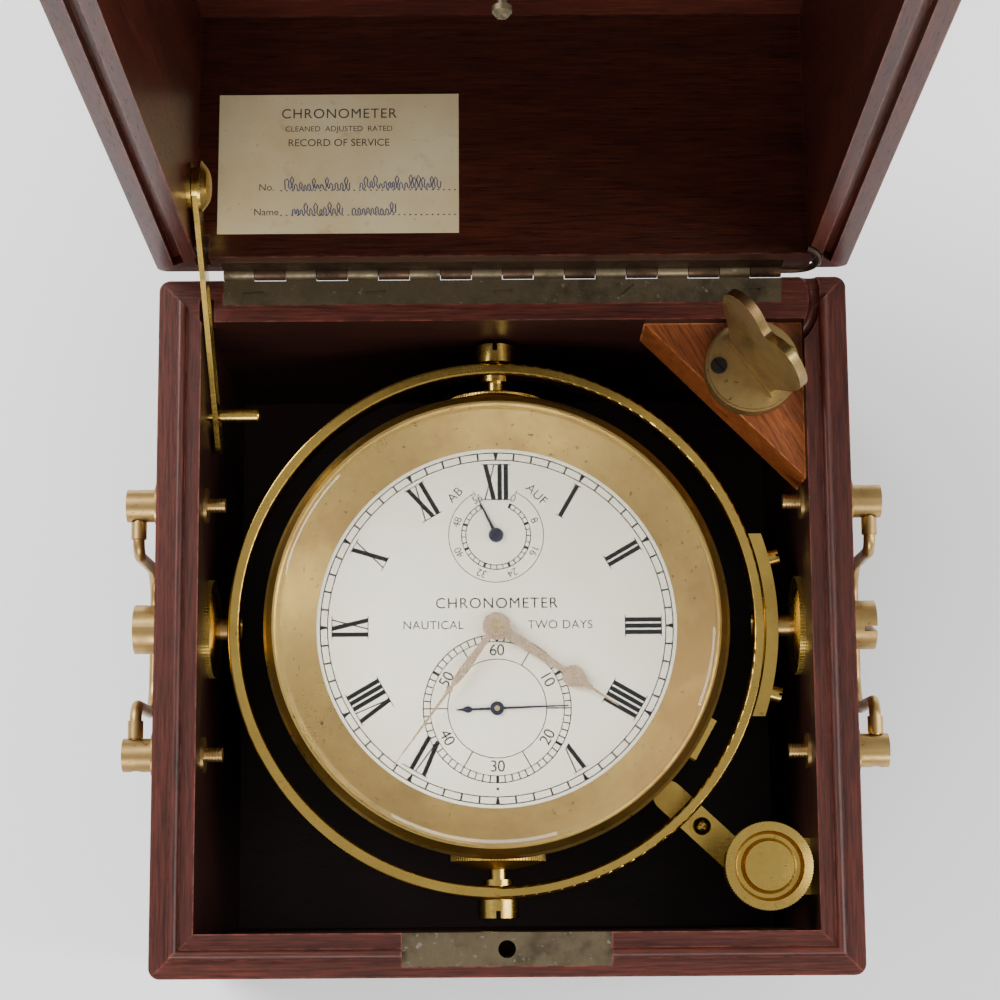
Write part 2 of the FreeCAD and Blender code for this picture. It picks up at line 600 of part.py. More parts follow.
def make_gimbal():
    half = "ring_high / 2"
    edge = "ring_edge"
    ring = turned("ring_section", [
        ("ring_inner + ring_edge", f"0 - {half}"),
        ("ring_outer - ring_edge", f"0 - {half}", edge, 1),
        ("ring_outer", f"ring_edge - {half}"),
        ("ring_outer", f"{half} - ring_edge", edge, 1),
        ("ring_outer - ring_edge", half),
        ("ring_inner + ring_edge", half, edge, 1),
        ("ring_inner", f"{half} - ring_edge"),
        ("ring_inner", f"ring_edge - {half}", edge, 1),
    ])
    holes = [
        rod("ring_bore_x", "trunnion + fit", "170", ("-85", "0", "0"), "X"),
        rod("ring_bore_y", "pivot_radius", "170", ("0", "-85", "0"), "Y"),
    ]
    shifted("gimbal_ring", cut("ring_cut", ring, holes))
    arc = math.radians(19)
    outer = size("ring_outer") + size("block_thick")
    sector = Part.makeCylinder(outer, size("block_high"), Vector(0, 0, -size("block_high") / 2))
    inside = Part.makeCylinder(size("ring_outer"), size("block_high"), Vector(0, 0, -size("block_high") / 2))
    reach = outer * math.sin(arc)
    strip = Part.makeBox(20, 2 * reach, 20, Vector(outer - 12, -reach, -10))
    block = sector.cut(inside).common(strip)
    block = block.cut(Part.makeCylinder(measure("trunnion + fit"), 90, Vector(), Vector(1, 0, 0)))
    for side in (-1, 1):
        stud = Part.makeCylinder(size("block_screw"), size("block_screw_out") + 0.9,
                                 Vector(outer - 0.9, 0, 0), Vector(1, 0, 0))
        slot = Part.makeBox(0.9, 0.7, 2 * size("block_screw"))
        slot.translate(Vector(outer + size("block_screw_out") - 0.8, -0.35, -size("block_screw")))
        stud = stud.cut(slot)
        stud.rotate(Vector(), Vector(0, 0, 1), side * size("block_screw_angle"))
        block = block.fuse(stud)
    shifted("pivot_block", formed("pivot_block_shape", block))
    screws = []
    for name, along in (("front", "Y"), ("back", "-Y")):
        out = "-Y" if along == "Y" else "Y"
        seat = "-ring_outer - 0.1" if along == "Y" else "ring_outer + 0.1"
        head = screw_head(f"ring_screw_{name}", "pivot_head", "pivot_head_long - 0.1",
                          ("0", seat, "0"), out, 90)
        shank = rod(f"ring_shank_{name}", "pivot_radius", "ring_outer + 0.1 - 63.4", ("0", seat, "0"), along)
        collar = rod(f"ring_collar_{name}", "4.2", "1.6",
                     ("0", "0.2 - ring_inner" if along == "Y" else "ring_inner - 0.2", "0"), along)
        screws.append(fuse(f"ring_screw_whole_{name}", [head, shank, collar]))
    shifted("ring_screws", group("ring_screws_group", screws))
    ends = []
    for name, sign, along, out in (("left", "-", "X", "-X"), ("right", "", "-X", "X")):
        outside = f"{sign}case_half"
        ends.append(fuse(f"trunnion_{name}", [
            rod(f"trunnion_rod_{name}", "trunnion", "case_half - trunnion_tip" +
                (" - gimbal_x" if sign == "" else " + gimbal_x"),
                (outside, "gimbal_y", "gimbal_z"), along),
            screw_head(f"boss_{name}", "boss_radius", "boss_long", (outside, "gimbal_y", "gimbal_z"), out,
                       75 if sign else 15),
        ]))
    keep("gimbal_trunnions", group("trunnion_group", ends))
    discs = []
    for name, at, along in (("left", "wall - case_half", "X"), ("right", "case_half - wall", "-X")):
        disc = knurled(f"case_flange_{name}", size("flange_radius"), size("flange_edge"), size("flange_dome"),
                       (at, "gimbal_y", "gimbal_z"), along)
        hole = rod(f"case_flange_hole_{name}", "trunnion", "30", (f"{at} - 15", "gimbal_y", "gimbal_z"), "X")
        discs.append(cut(f"case_flange_cut_{name}", disc, [hole]))
    keep("gimbal_flanges", group("flange_group", discs))


# --- Bowl, glass and dial --------------------------------------------------------------------


def make_bowl():
    shell = turned("bowl_turned", [
        ("0", "-50"),
        ("37", "-50", "7", 1),
        ("42.6", "-47.2"),
        ("56", "-33", "62", 1),
        ("bowl_radius", "-13"),
        ("bowl_radius", "bowl_top"),
        ("bowl_radius - bowl_wall", "bowl_top"),
        ("bowl_radius - bowl_wall", "dial_low"),
        ("ledge", "dial_low"),
        ("ledge", "ledge_low"),
        ("bowl_radius - bowl_wall", "ledge_low - 4"),
        ("bowl_radius - bowl_wall", "-13", "62", -1),
        ("54.2", "-32.4"),
        ("41.2", "-45.8", "5", -1),
        ("37", "-48"),
        ("0", "-48"),
    ])
    bores = [rod("bowl_bore", "pivot_radius + fit", "150", ("0", "-75", "0"), "Y"),
             box("bowl_keep", ("20", "112", "20"), ("-10", "-56", "-10"))]
    pierced = cut("bowl_pierced", shell, [cut("bowl_bore_ends", bores[0], [bores[1]])])
    weight = turned("poise_blank", [("46", "-36"), ("54.5", "-32.6"), ("58.8", "-24"), ("46", "-24")])
    sector = plate("poise_sector", [("0", "0"), ("-poise_reach * 0.277", "-poise_reach * 0.961"),
                                    ("poise_reach * 0.557", "-poise_reach * 0.83")], "20", ("0", "0", "-40"))
    necks = []
    for name, start, along in (("front", "0 - disc_start", "Y"), ("back", "disc_start", "-Y")):
        neck = rod(f"bowl_neck_{name}", "7", "disc_start - bowl_radius + 1.5", ("0", start, "0"), along)
        hole = rod(f"bowl_neck_hole_{name}", "pivot_radius + fit", "6", ("0", start, "0"), along)
        necks.append(cut(f"bowl_neck_cut_{name}", neck, [hole]))
    start, wide = size("bowl_radius") - 1, size("lug_wide")
    lug = Part.makeBox(size("lug_out") - start, wide, 6, Vector(start, -wide / 2, 2))
    lug.rotate(Vector(), Vector(0, 0, 1), size("lug_angle"))
    weighted = [pierced, common("poise_weight", weight, sector), formed("bowl_lug", lug)]
    shifted("bowl_shell", fuse("bowl_fused", weighted + necks))
    shifted("bezel", turned("bezel_turned", [
        ("49.7", "1.3"),
        ("50.6", "1.2"),
        ("bowl_radius - bowl_wall - 0.1", "bowl_top - 0.6"),
        ("bowl_radius - bowl_wall - 0.1", "bowl_top"),
        ("bezel_radius", "bowl_top"),
        ("bezel_radius", "bowl_top + bezel_lip"),
        ("bezel_radius - 0.8", "bowl_top + bezel_lip + 0.8"),
        ("bezel_radius - 2.5", "bezel_top - 0.4"),
        ("bezel_radius - 2.7", "bezel_top"),
        ("glass_radius", "bezel_top"),
        ("glass_radius", "glass_low"),
        ("glass_radius - 0.8", "glass_low - 0.3"),
    ]))
    shifted("crystal", turned("glass_turned", [
        ("0", "glass_low"),
        ("glass_radius", "glass_low"),
        ("glass_radius", "glass_low + glass_thick - 1"),
        ("glass_radius - glass_bevel", "glass_low + glass_thick"),
        ("0", "glass_low + glass_thick"),
    ]))
    blank = rod("dial_blank", "dial_radius", "dial_thick", ("0", "0", "dial_low"))
    feet = [rod(f"dial_foot_{index}", "1.2", "dial_low - plate_low - plate_thick",
                (f"{41 * math.cos(math.radians(angle)):.3f}", f"{41 * math.sin(math.radians(angle)):.3f}",
                 "plate_low + plate_thick")) for index, angle in enumerate((75, 195, 315))]
    holes = [
        rod("dial_hole_centre", "hour_pipe + 0.1", "3", ("0", "0", "-1")),
        rod("dial_hole_seconds", "seconds_arbor + 0.1", "3", ("0", "seconds_y", "-1")),
        rod("dial_hole_reserve", "reserve_arbor + 0.1", "3", ("0", "reserve_y", "-1")),
    ]
    shifted("dial", cut("dial_cut", fuse("dial_fused", [blank] + feet), holes))
    discs = []
    for name, along, start in (("front", "-Y", "-disc_start"), ("back", "Y", "disc_start")):
        disc = knurled(f"bowl_disc_{name}", size("disc_radius"), size("disc_edge"), size("disc_dome"),
                       ("0", start, "0"), along)
        hole = rod(f"bowl_disc_hole_{name}", "pivot_radius + fit", "12", ("0", start, "0"), along)
        seat = rod(f"bowl_disc_seat_{name}", "bezel_radius + fit", "9", ("0", "0", "bowl_top - fit"))
        discs.append(cut(f"bowl_disc_cut_{name}", disc, [hole, seat]))
    shifted("bowl_flanges", group("bowl_disc_group", discs))


# --- Movement --------------------------------------------------------------------------------


def toothed(teeth, module, thick, low, share, phase, windows=None):
    """Gear blank with tapered teeth; share is the tooth's part of the pitch at the pitch circle."""
    pitch_radius = teeth * module / 2
    pitch = 2 * math.pi / teeth
    levels = ((pitch_radius - 1.35 * module, share * 1.25), (pitch_radius, share),
              (pitch_radius + 0.85 * module, share * 0.4))
    points = []
    for tooth in range(teeth):
        middle = phase + tooth * pitch
        flank = [(radius, -part / 2) for radius, part in levels]
        flank += [(radius, part / 2) for radius, part in reversed(levels)]
        for radius, part in flank:
            angle = middle + part * pitch
            points.append(Vector(radius * math.cos(angle), radius * math.sin(angle), low))
    face = Part.Face(Part.makePolygon(points + points[:1]))
    wheel = face.extrude(Vector(0, 0, thick))
    if windows:
        inner, outer, arm = windows
        ring = Part.makeCylinder(outer, thick + 2, Vector(0, 0, low - 1))
        ring = ring.cut(Part.makeCylinder(inner, thick + 2, Vector(0, 0, low - 1)))
        for turn in (0, 90):
            bar = Part.makeBox(2 * outer + 2, arm, thick + 2, Vector(-outer - 1, -arm / 2, low - 1))
            bar.rotate(Vector(), Vector(0, 0, 1), turn)
            ring = ring.cut(bar)
        wheel = wheel.cut(ring)
    return wheel


def arbor(radius, low, high):
    return Part.makeCylinder(radius, high - low, Vector(0, 0, low))


def train_piece(label, parts, at):
    whole = parts[0]
    for part in parts[1:]:
        whole = whole.fuse(part)
    shifted(label, place(formed(label + "_turned", whole.removeSplitter()), at))


def bearing(start, end):
    """Direction in radians from one arbor to another, each given as two names."""
    return math.atan2(measure(end[1]) - measure(start[1]), measure(end[0]) - measure(start[0]))


CENTRE = ("0", "0")
FUSEE = ("fusee_x", "fusee_y")
THIRD = ("third_x", "third_y")
FOURTH = ("0", "seconds_y")
ESCAPE = ("escape_x", "escape_y")
MINUTE = ("minute_x", "minute_y")


def pinion_phase(own, other, leaves):
    return bearing(own, other) + math.pi / leaves


def make_train():
    thin = 0.36
    great, centre = int(size("great_teeth")), int(size("centre_leaves"))
    groove_count = 8
    profile = [Vector(2, 0, -30.5), Vector(8.5, 0, -30.5)]
    for index in range(groove_count):
        height = -29.5 + index * 1.9
        radius = 7.6 + 9.2 * (index / groove_count) ** 1.6
        profile += [Vector(radius, 0, height), Vector(radius, 0, height + 1.2)]
        profile.append(Vector(radius + 0.9, 0, height + 1.4))
    profile += [Vector(16.6, 0, -13.4), Vector(16.6, 0, -12.4), Vector(2, 0, -12.4)]
    cone_shape = Part.Face(Part.makePolygon(profile + profile[:1])).revolve(Vector(), Vector(0, 0, 1), 360)
    train_piece("fusee", [
        toothed(great, size("great_module"), 2, -11.5, thin, bearing(FUSEE, CENTRE), (12, 18.4, 2.4)),
        cone_shape,
        arbor(2, -40, -3.2),
        Part.makeBox(2.6, 2.6, 5, Vector(-1.3, -1.3, -45)),
        arbor(4, -12.5, -9),
    ], FUSEE + ("0",))
    train_piece("centre_wheel", [
        toothed(centre, size("great_module"), 2.8, -11.9, thin, pinion_phase(CENTRE, FUSEE, centre)),
        toothed(int(size("centre_teeth")), size("centre_module"), 1, -7.9, thin,
                bearing(CENTRE, THIRD), (4.6, 15.4, 1.8)),
        arbor(3.4, -9.1, -6.3),
        arbor(size("centre_arbor"), -34.5, 4.6),
        toothed(int(size("cannon_leaves")), size("motion_module"), 0.8, -2.9, thin,
                pinion_phase(CENTRE, MINUTE, size("cannon_leaves"))),
        Part.makeBox(1.6, 1.6, 0.8, Vector(-0.8, -0.8, 4.6)),
        Part.makeBox(2.4, 2.4, 1.2, Vector(-1.2, -1.2, 5.3)),
    ], CENTRE + ("0",))
    third = int(size("third_leaves"))
    train_piece("third_wheel", [
        toothed(third, size("centre_module"), 2.4, -8.6, thin, pinion_phase(THIRD, CENTRE, third)),
        toothed(int(size("third_teeth")), size("third_module"), 0.9, -20.5, thin,
                bearing(THIRD, FOURTH), (3.6, 11.8, 1.5)),
        arbor(2.4, -21.6, -19.2),
        arbor(1, -34, -4),
    ], THIRD + ("0",))
    fourth = int(size("fourth_leaves"))
    train_piece("fourth_wheel", [
        toothed(fourth, size("third_module"), 2, -21, thin, pinion_phase(FOURTH, THIRD, fourth)),
        toothed(int(size("fourth_teeth")), size("fourth_module"), 0.8, -25.4, thin,
                bearing(FOURTH, ESCAPE), (3.2, 9.8, 1.3)),
        arbor(2.2, -26.4, -24),
        arbor(size("seconds_arbor"), -34, 1.9),
    ], FOURTH + ("0",))
    escape = int(size("escape_leaves"))
    train_piece("escape_wheel", [
        toothed(escape, size("fourth_module"), 2.2, -26.1, thin, pinion_phase(ESCAPE, FOURTH, escape)),
        escape_blank(),
        arbor(0.7, -34, -23),
    ], ESCAPE + ("0",))
    train_piece("minute_wheel", [
        toothed(int(size("minute_teeth")), size("motion_module"), 0.6, -2.8, thin,
                bearing(MINUTE, CENTRE)),
        toothed(int(size("minute_leaves")), size("hour_module"), 1.4, -2.2, thin,
                pinion_phase(MINUTE, CENTRE, size("minute_leaves"))),
        arbor(0.5, -4.5, -0.3),
    ], MINUTE + ("0",))
    pipe = arbor(size("hour_pipe"), -1.6, 3.3).cut(arbor(measure("centre_arbor + 0.08"), -3, 5))
    hour = toothed(int(size("hour_teeth")), size("hour_module"), 0.7, -1.6, thin, bearing(CENTRE, MINUTE))
    hour = hour.cut(arbor(measure("centre_arbor + 0.08"), -3, 5))
    train_piece("hour_wheel", [hour, pipe], CENTRE + ("0",))


def escape_blank():
    """Fifteen raked pointed teeth on a thin rim with four arms."""
    teeth = int(size("escape_teeth"))
    tip, root, low, thick = size("escape_radius"), size("escape_radius") - 1.7, -29.4, 0.6
    points = []
    for tooth in range(teeth):
        start = 2 * math.pi * tooth / teeth
        for radius, lag in ((root, -0.06), (tip, 0.0), (tip, 0.03), (root, 0.24)):
            angle = start + lag
            points.append(Vector(radius * math.cos(angle), radius * math.sin(angle), low))
    wheel = Part.Face(Part.makePolygon(points + points[:1])).extrude(Vector(0, 0, thick))
    ring = Part.makeCylinder(4.6, 3, Vector(0, 0, low - 1))
    ring = ring.cut(Part.makeCylinder(1.6, 3, Vector(0, 0, low - 1)))
    for turn in (0, 90):
        bar = Part.makeBox(12, 0.9, 3, Vector(-6, -0.45, low - 1))
        bar.rotate(Vector(), Vector(0, 0, 1), turn)
        ring = ring.cut(bar)
    return wheel.cut(ring)


PILLARS = ((0, 42), (41, -6), (-41, -6), (26, -33))


def make_plates():
    top = Part.makeCylinder(size("plate_radius"), size("plate_thick"), Vector(0, 0, size("plate_low")))
    back = Part.makeCylinder(size("plate_radius") - 1, size("plate_thick"), Vector(0, 0, size("back_low")))
    pillar_high = size("plate_low") - size("back_low") - size("plate_thick")
    for x, y in PILLARS:
        foot = Vector(x, y, size("back_low") + size("plate_thick"))
        top = top.fuse(Part.makeCylinder(size("pillar_radius"), pillar_high, foot))
    bores = (
        (CENTRE, "centre_arbor + 0.06", "centre_arbor + 0.06"),
        (THIRD, "1.06", "1.06"),
        (FOURTH, "seconds_arbor + 0.06", "seconds_arbor + 0.06"),
        (ESCAPE, None, "0.76"),
        (FUSEE, "2.06", "2.06"),
        (MINUTE, "0.56", None),
        (("barrel_x", "barrel_y"), "2.06", "2.06"),
        (("0", "reserve_y"), "reserve_arbor + 0.06", None),
        (("balance_x", "balance_y"), None, "2.8"),
    )
    for (x, y), above, below in bores:
        at = Vector(measure(x), measure(y), -60)
        if above:
            top = top.cut(Part.makeCylinder(measure(above), 70, at))
        if below:
            back = back.cut(Part.makeCylinder(measure(below), 70, at))
    shifted("pillar_plate", formed("pillar_plate_shape", top))
    shifted("back_plate", formed("back_plate_shape", back))
    drum = Part.makeCylinder(size("barrel_radius"), 16.5, Vector(0, 0, -30))
    drum = drum.cut(Part.makeCylinder(size("barrel_radius") - 1.2, 14.1, Vector(0, 0, -28.8)))
    train_piece("mainspring_barrel", [drum, arbor(2, -38, -3.4)], ("barrel_x", "barrel_y", "0"))


def make_balance():
    radius = size("balance_radius")
    low = -39.6
    rim = Part.makeCylinder(radius, 2.4, Vector(0, 0, low))
    rim = rim.cut(Part.makeCylinder(radius - 1.2, 4, Vector(0, 0, low - 1)))
    bar = Part.makeBox(2 * radius - 1, 2, 1, Vector(0.5 - radius, -1, low + 0.6))
    parts = [rim, bar, arbor(0.8, -43.8, -28)]
    for angle in (70, 250):
        turn = math.radians(angle)
        middle = Vector(radius * math.cos(turn), radius * math.sin(turn), low - 0.6)
        parts.append(Part.makeCylinder(2.2, 3.6, middle))
    for angle in (0, 35, 110, 145, 180, 215, 290, 325):
        turn = math.radians(angle)
        out = Vector(math.cos(turn), math.sin(turn), 0)
        parts.append(Part.makeCylinder(0.7, 2.2, out * (radius - 0.5) + Vector(0, 0, low + 1.2), out))
    parts.append(arbor(2.1, -29.5, -28.6))
    parts.append(arbor(1.2, -31.2, -30.6))
    parts.append(Part.makeBox(1, 0.5, 0.6, Vector(1, -0.25, -31.2)))
    train_piece("balance_wheel", parts, ("balance_x", "balance_y", "0"))
    foot = Vector(2.5, -5.5, 0)
    end = Vector(measure("balance_x"), measure("balance_y"), 0)
    reach = (end - foot).Length
    arm = Part.makeBox(reach, 7, 2.4, Vector(0, -3.5, -46.4))
    arm = arm.fuse(Part.makeCylinder(4.4, 2.4, Vector(reach, 0, -46.4)))
    arm = arm.fuse(Part.makeBox(8, 9, -35 + 46.4, Vector(-4, -4.5, -46.4)))
    arm = arm.cut(Part.makeCylinder(0.86, 3, Vector(reach, 0, -45)))
    arm.rotate(Vector(), Vector(0, 0, 1), math.degrees(math.atan2(end.y - foot.y, end.x - foot.x)))
    arm.translate(foot)
    shifted("balance_cock", formed("balance_cock_shape", arm))
    coil = 5
    strip = [(coil - 0.15, -0.2), (coil + 0.15, -0.2), (coil + 0.15, 0.2), (coil - 0.15, 0.2)]
    section = Part.makePolygon([Vector(x, 0, z) for x, z in strip + strip[:1]])
    spiral = Part.Wire(Part.makeHelix(0.55, 3.3, coil)).makePipeShell([section], True, True)
    spring = place(formed("spring_coil", spiral), ("balance_x", "balance_y", "-43.6"))
    shifted("balance_spring", spring)
    along = math.radians(-108)
    blade = Part.makeBox(14.2, 0.3, 1.2, Vector(2.9, -0.15, -31.4))
    blade = blade.fuse(Part.makeBox(3, 0.8, 2.6, Vector(7.2, -0.4, -31.6)))
    blade = blade.fuse(Part.makeCylinder(1.3, 3, Vector(17.6, 0, -31.9)))
    blade.rotate(Vector(), Vector(0, 0, 1), math.degrees(along))
    shifted("detent", place(formed("detent_shape", blade), ("balance_x", "balance_y", "0")))


def make_hands():
    """Spade hands in rose gold, and the small blued hands of the two inner dials."""
    def hand(label, outline, low, thick, hub, hub_low, hub_high, bore, at, heading):
        parts = [Part.Face(Part.makePolygon([Vector(x, y, low) for x, y in outline + outline[:1]]))]
        parts = [parts[0].extrude(Vector(0, 0, thick))]
        parts.append(arbor(hub, hub_low, hub_high))
        whole = parts[0].fuse(parts[1])
        if bore:
            whole = whole.cut(arbor(bore, -5, 20))
        whole.rotate(Vector(), Vector(0, 0, 1), heading)
        shifted(label, place(formed(label + "_shape", whole.removeSplitter()), at))

    def mirrored(side):
        return side + [(x, -y) for x, y in reversed(side)]

    minute = mirrored([(1.5, 0.8), (6, 0.85), (15, 1.25), (19, 0.9), (20.8, 0.4), (21.3, 0.75), (22, 0.85),
                       (22.7, 0.7), (23.3, 0.42), (35, 0.3), (47.5, 0.08)])
    hour = mirrored([(1.5, 1.3), (8, 1.45), (16, 1.1), (21, 0.75), (22.2, 0.9), (22.7, 1.8), (23.7, 2.7),
                     (25, 3.05), (26.4, 2.8), (28, 1.7), (29.3, 0.8), (30.1, 0.6), (30.7, 0.75), (31.4, 0.4),
                     (40, 0.08)])
    hand("minute_hand", minute, 4.2, 0.35, 2.9, 3.8, 5.2, size("centre_arbor"), CENTRE + ("0",), 90 - 216.5)
    hand("hour_hand", hour, 2.5, 0.4, 3.8, 2.3, 3.3, size("hour_pipe"), CENTRE + ("0",), 90 - 123.6)
    seconds = [(0, 0.36), (19.6, 0.14), (19.6, -0.14), (0, -0.36), (-6.8, -0.3), (-7.2, -0.7), (-8, -0.95),
               (-8.8, -0.7), (-9.4, -0.35), (-11.4, -0.1), (-11.4, 0.1), (-9.4, 0.35), (-8.8, 0.7),
               (-8, 0.95), (-7.2, 0.7), (-6.8, 0.3)]
    hand("seconds_hand", seconds, 1.35, 0.2, 1.9, 1.3, 1.75, size("seconds_arbor"), FOURTH + ("0",), 90 - 88)
    reserve = [(0, 0.5), (6, 0.32), (11.6, 0.08), (11.6, -0.08), (6, -0.32), (0, -0.5)]
    hub = Part.makeSphere(2.1, Vector(0, 0, 0.9)).common(Part.makeBox(6, 6, 1.2, Vector(-3, -3, 1.25)))
    needle = Part.Face(Part.makePolygon([Vector(x, y, 1.45) for x, y in reserve + reserve[:1]]))
    whole = needle.extrude(Vector(0, 0, 0.2)).fuse([hub, arbor(size("reserve_arbor"), -7, 1.4)])
    whole.rotate(Vector(), Vector(0, 0, 1), 90 + 26)
    shifted("up_down_hand", place(formed("up_down_shape", whole), ("0", "reserve_y", "0")))


# --- Key, gimbal lock and handles ------------------------------------------------------------


def make_key():
    corner = "case_half - wall"
    block = plate("corner_outline", [(f"{corner} - block_leg", corner), (corner, f"{corner} - block_leg"),
                                     (corner, corner)], "block_deep", ("0", "0", "block_top - block_deep"))
    bore = rod("key_bore", "key_tube + 0.1", "block_deep + 2",
               ("key_x", "key_y", "block_top - block_deep - 1"))
    keep("corner_block", cut("corner_block_cut", block, [bore]))
    at = Vector(measure("key_x"), measure("key_y"), 0)
    turn = size("key_turn_angle")
    top = size("block_top")
    head_radius = size("key_head")
    body = Part.makeCylinder(head_radius, 5.6, Vector(0, 0, top + 0.2))
    ridges = [Part.makeCylinder(head_radius + 1, 0.7, Vector(0, 0, top + z)).cut(
        Part.makeCylinder(head_radius - 0.5, 0.9, Vector(0, 0, top + z - 0.1))) for z in (2.0, 4.4)]
    body = body.cut(ridges[0]).cut(ridges[1])
    body = body.fuse(Part.makeCylinder(size("key_tube"), 44, Vector(0, 0, top - 43.8)))
    body = body.cut(Part.makeBox(3, 3, 9, Vector(-1.5, -1.5, top - 44.5)))
    body = body.cut(Part.makeCylinder(2.2, 6, Vector(0, 0, top + 1)))
    keep("key_socket", place(formed("key_socket_shape", body), ("key_x", "key_y", "0")))
    base = top + 5.9
    lobe = [(9, 0), (9.6, 6), (12.4, 15), (15, 25), (15.2, 31.5), (12.6, 38), (8.4, 41.2), (4.4, 40),
            (1.4, 36.6), (0, 35.8)]
    sides = []
    for side in (-1, 1):
        curve = Part.BSplineCurve()
        curve.interpolate([Vector(side * x, -1.2, base + 1 + z) for x, z in lobe])
        sides.append(curve.toShape())
    foot = Part.makeLine(Vector(-9, -1.2, base + 1), Vector(9, -1.2, base + 1))
    face = Part.Face(Part.Wire(Part.__sortEdges__(sides + [foot])))
    bow = face.extrude(Vector(0, 2.4, 0))
    bow = bow.fuse(Part.makeCylinder(head_radius - 0.6, 1.2, Vector(0, 0, base)))
    bow = bow.fuse(Part.makeCylinder(2.1, 5.4, Vector(0, 0, base - 4.6)))
    bow = bow.fuse(Part.makeBox(20, 4, 1.6, Vector(-10, -2, base + 1)))
    bow = bow.cut(Part.makeCylinder(1.5, 3, Vector(-5.5, -7.5, base + 0.4)))
    bow.rotate(Vector(), Vector(0, 0, 1), turn)
    keep("key_bow", place(formed("key_bow_shape", bow), ("key_x", "key_y", "0")))
    pin = Part.makeCylinder(1.5, 0.8, Vector(-5.5, -7.5, base + 0.4))
    pin = pin.fuse(Part.makeCylinder(2.2, 0.9, Vector(-5.5, -7.5, base + 1.2)))
    pin = pin.cut(Part.makeBox(5, 0.5, 0.5, Vector(-8, -7.75, base + 1.7)))
    pin.rotate(Vector(), Vector(0, 0, 1), turn)
    keep("key_screw", place(formed("key_screw_shape", pin), ("key_x", "key_y", "0")))


def make_gimbal_lock():
    rim = size("case_height")
    arm_top = rim - size("arm_low")
    arm_bottom = arm_top - size("arm_thick")
    radius = size("post_radius")
    post = ("lock_post_x", "lock_post_y", "0")
    inner_wall = size("case_half") - size("wall")
    at = Vector(size("lock_post_x"), size("lock_post_y"), 0)
    reach = inner_wall - at.x
    bracket = Part.makeCylinder(radius, rim - 6 - arm_bottom, Vector(0, 0, arm_bottom - 1))
    bracket = bracket.fuse(Part.makeCylinder(5.5, 3.6, Vector(0, 0, arm_bottom - 3.8)))
    bracket = bracket.fuse(Part.makeBox(reach, 9, 3.6, Vector(0, -4.5, arm_bottom - 3.8)))
    bracket = bracket.fuse(Part.makeBox(2.6, 15, 102 - arm_bottom + 3.8,
                                        Vector(reach - 2.6, -7.5, arm_bottom - 3.8)))
    for y in BRACKET_SCREWS:
        start = Vector(reach - 5, float(y) - at.y, size("bracket_z"))
        bracket = bracket.cut(Part.makeCylinder(1.6, 8, start, Vector(1, 0, 0)))
    keep("lock_bracket", place(formed("bracket_shape", bracket), post))
    half = size("arm_half")
    arm = Part.makeBox(size("arm_long") - half, 2 * half, size("arm_thick"), Vector(0, -half, arm_bottom))
    arm = arm.fuse(Part.makeCylinder(half, size("arm_thick"), Vector(size("arm_long") - half, 0, arm_bottom)))
    arm = arm.fuse(Part.makeCylinder(6, size("arm_thick"), Vector(0, 0, arm_bottom)))
    ball = Part.makeSphere(2.6, Vector(17.5, 0, arm_top + 1.6))
    arm = arm.fuse([ball, Part.makeCylinder(3.3, 0.9, Vector(17.5, 0, arm_top))])
    arm = arm.cut(Part.makeCylinder(radius + size("fit"), 20, Vector(0, 0, arm_bottom - 8)))
    arm.rotate(Vector(), Vector(0, 0, 1), size("arm_angle"))
    keep("lock_arm", place(formed("lock_arm_shape", arm), post))
    knob_radius = size("knob_radius")
    neck = Part.makeCylinder(4.4, rim - 6.4 - arm_top, Vector(0, 0, arm_top + 0.2))
    head = knurled("knob_head", knob_radius, 6, 0.9, ("0", "0", "0"), "Z").Shape.copy()
    head.translate(Vector(0, 0, rim - 6.5))
    groove = Part.makeCone(8.3, 9.3, 3, Vector(0, 0, rim - 2.6))
    groove = groove.cut(Part.makeCone(7.3, 6.3, 3, Vector(0, 0, rim - 2.6)))
    knob = neck.fuse(head.cut(groove))
    knob = knob.cut(Part.makeCylinder(radius + size("fit"), rim - 5 - arm_top, Vector(0, 0, arm_top - 1)))
    keep("lock_knob", place(formed("lock_knob_shape", knob), post))


def make_handles():
    """Bolts through the side boards, with a drop handle hung between each pair."""
    wall, middle, half, top = size("wall"), size("handle_mid"), size("handle_half"), size("handle_z")
    radius, bolt = size("bail_radius"), 1.95
    posts = []
    for side in (-1, 1):
        for end in (-1, 1):
            along = Vector(side, 0, 0)
            face = Vector(side * size("case_half"), middle + end * half, top)
            inside = face - along * wall
            post = Part.makeCylinder(6.6, 1.6, face, along)
            post = post.fuse([
                Part.makeCylinder(size("post_turn"), size("handle_out") + 0.6, face, along),
                Part.makeCylinder(bolt, wall + 1 + size("thread_long"), face, -along),
                Part.makeCylinder(4.8, 0.8, inside, -along),
            ])
            for turn in range(5):
                groove = Part.makeCylinder(bolt + 1, 0.3, inside - along * (1.2 + 0.8 * turn), -along)
                post = post.cut(groove.cut(Part.makeCylinder(bolt - 0.3, 20, face, -along)))
            bore_at = Vector(face.x + side * size("handle_axis"), face.y - 10, face.z)
            post = post.cut(Part.makeCylinder(radius + 0.08, 20, bore_at, Vector(0, 1, 0)))
            posts.append(formed(f"handle_post_{side}_{end}", post.removeSplitter()))
    keep("handle_posts", group("handle_posts_group", posts))
    for label, side in (("bail_left", -1), ("bail_right", 1)):
        x = side * (size("case_half") + size("handle_axis"))
        keep(label, formed(label + "_wire", bail(x, middle, half, top, top - size("bail_drop"), radius)))


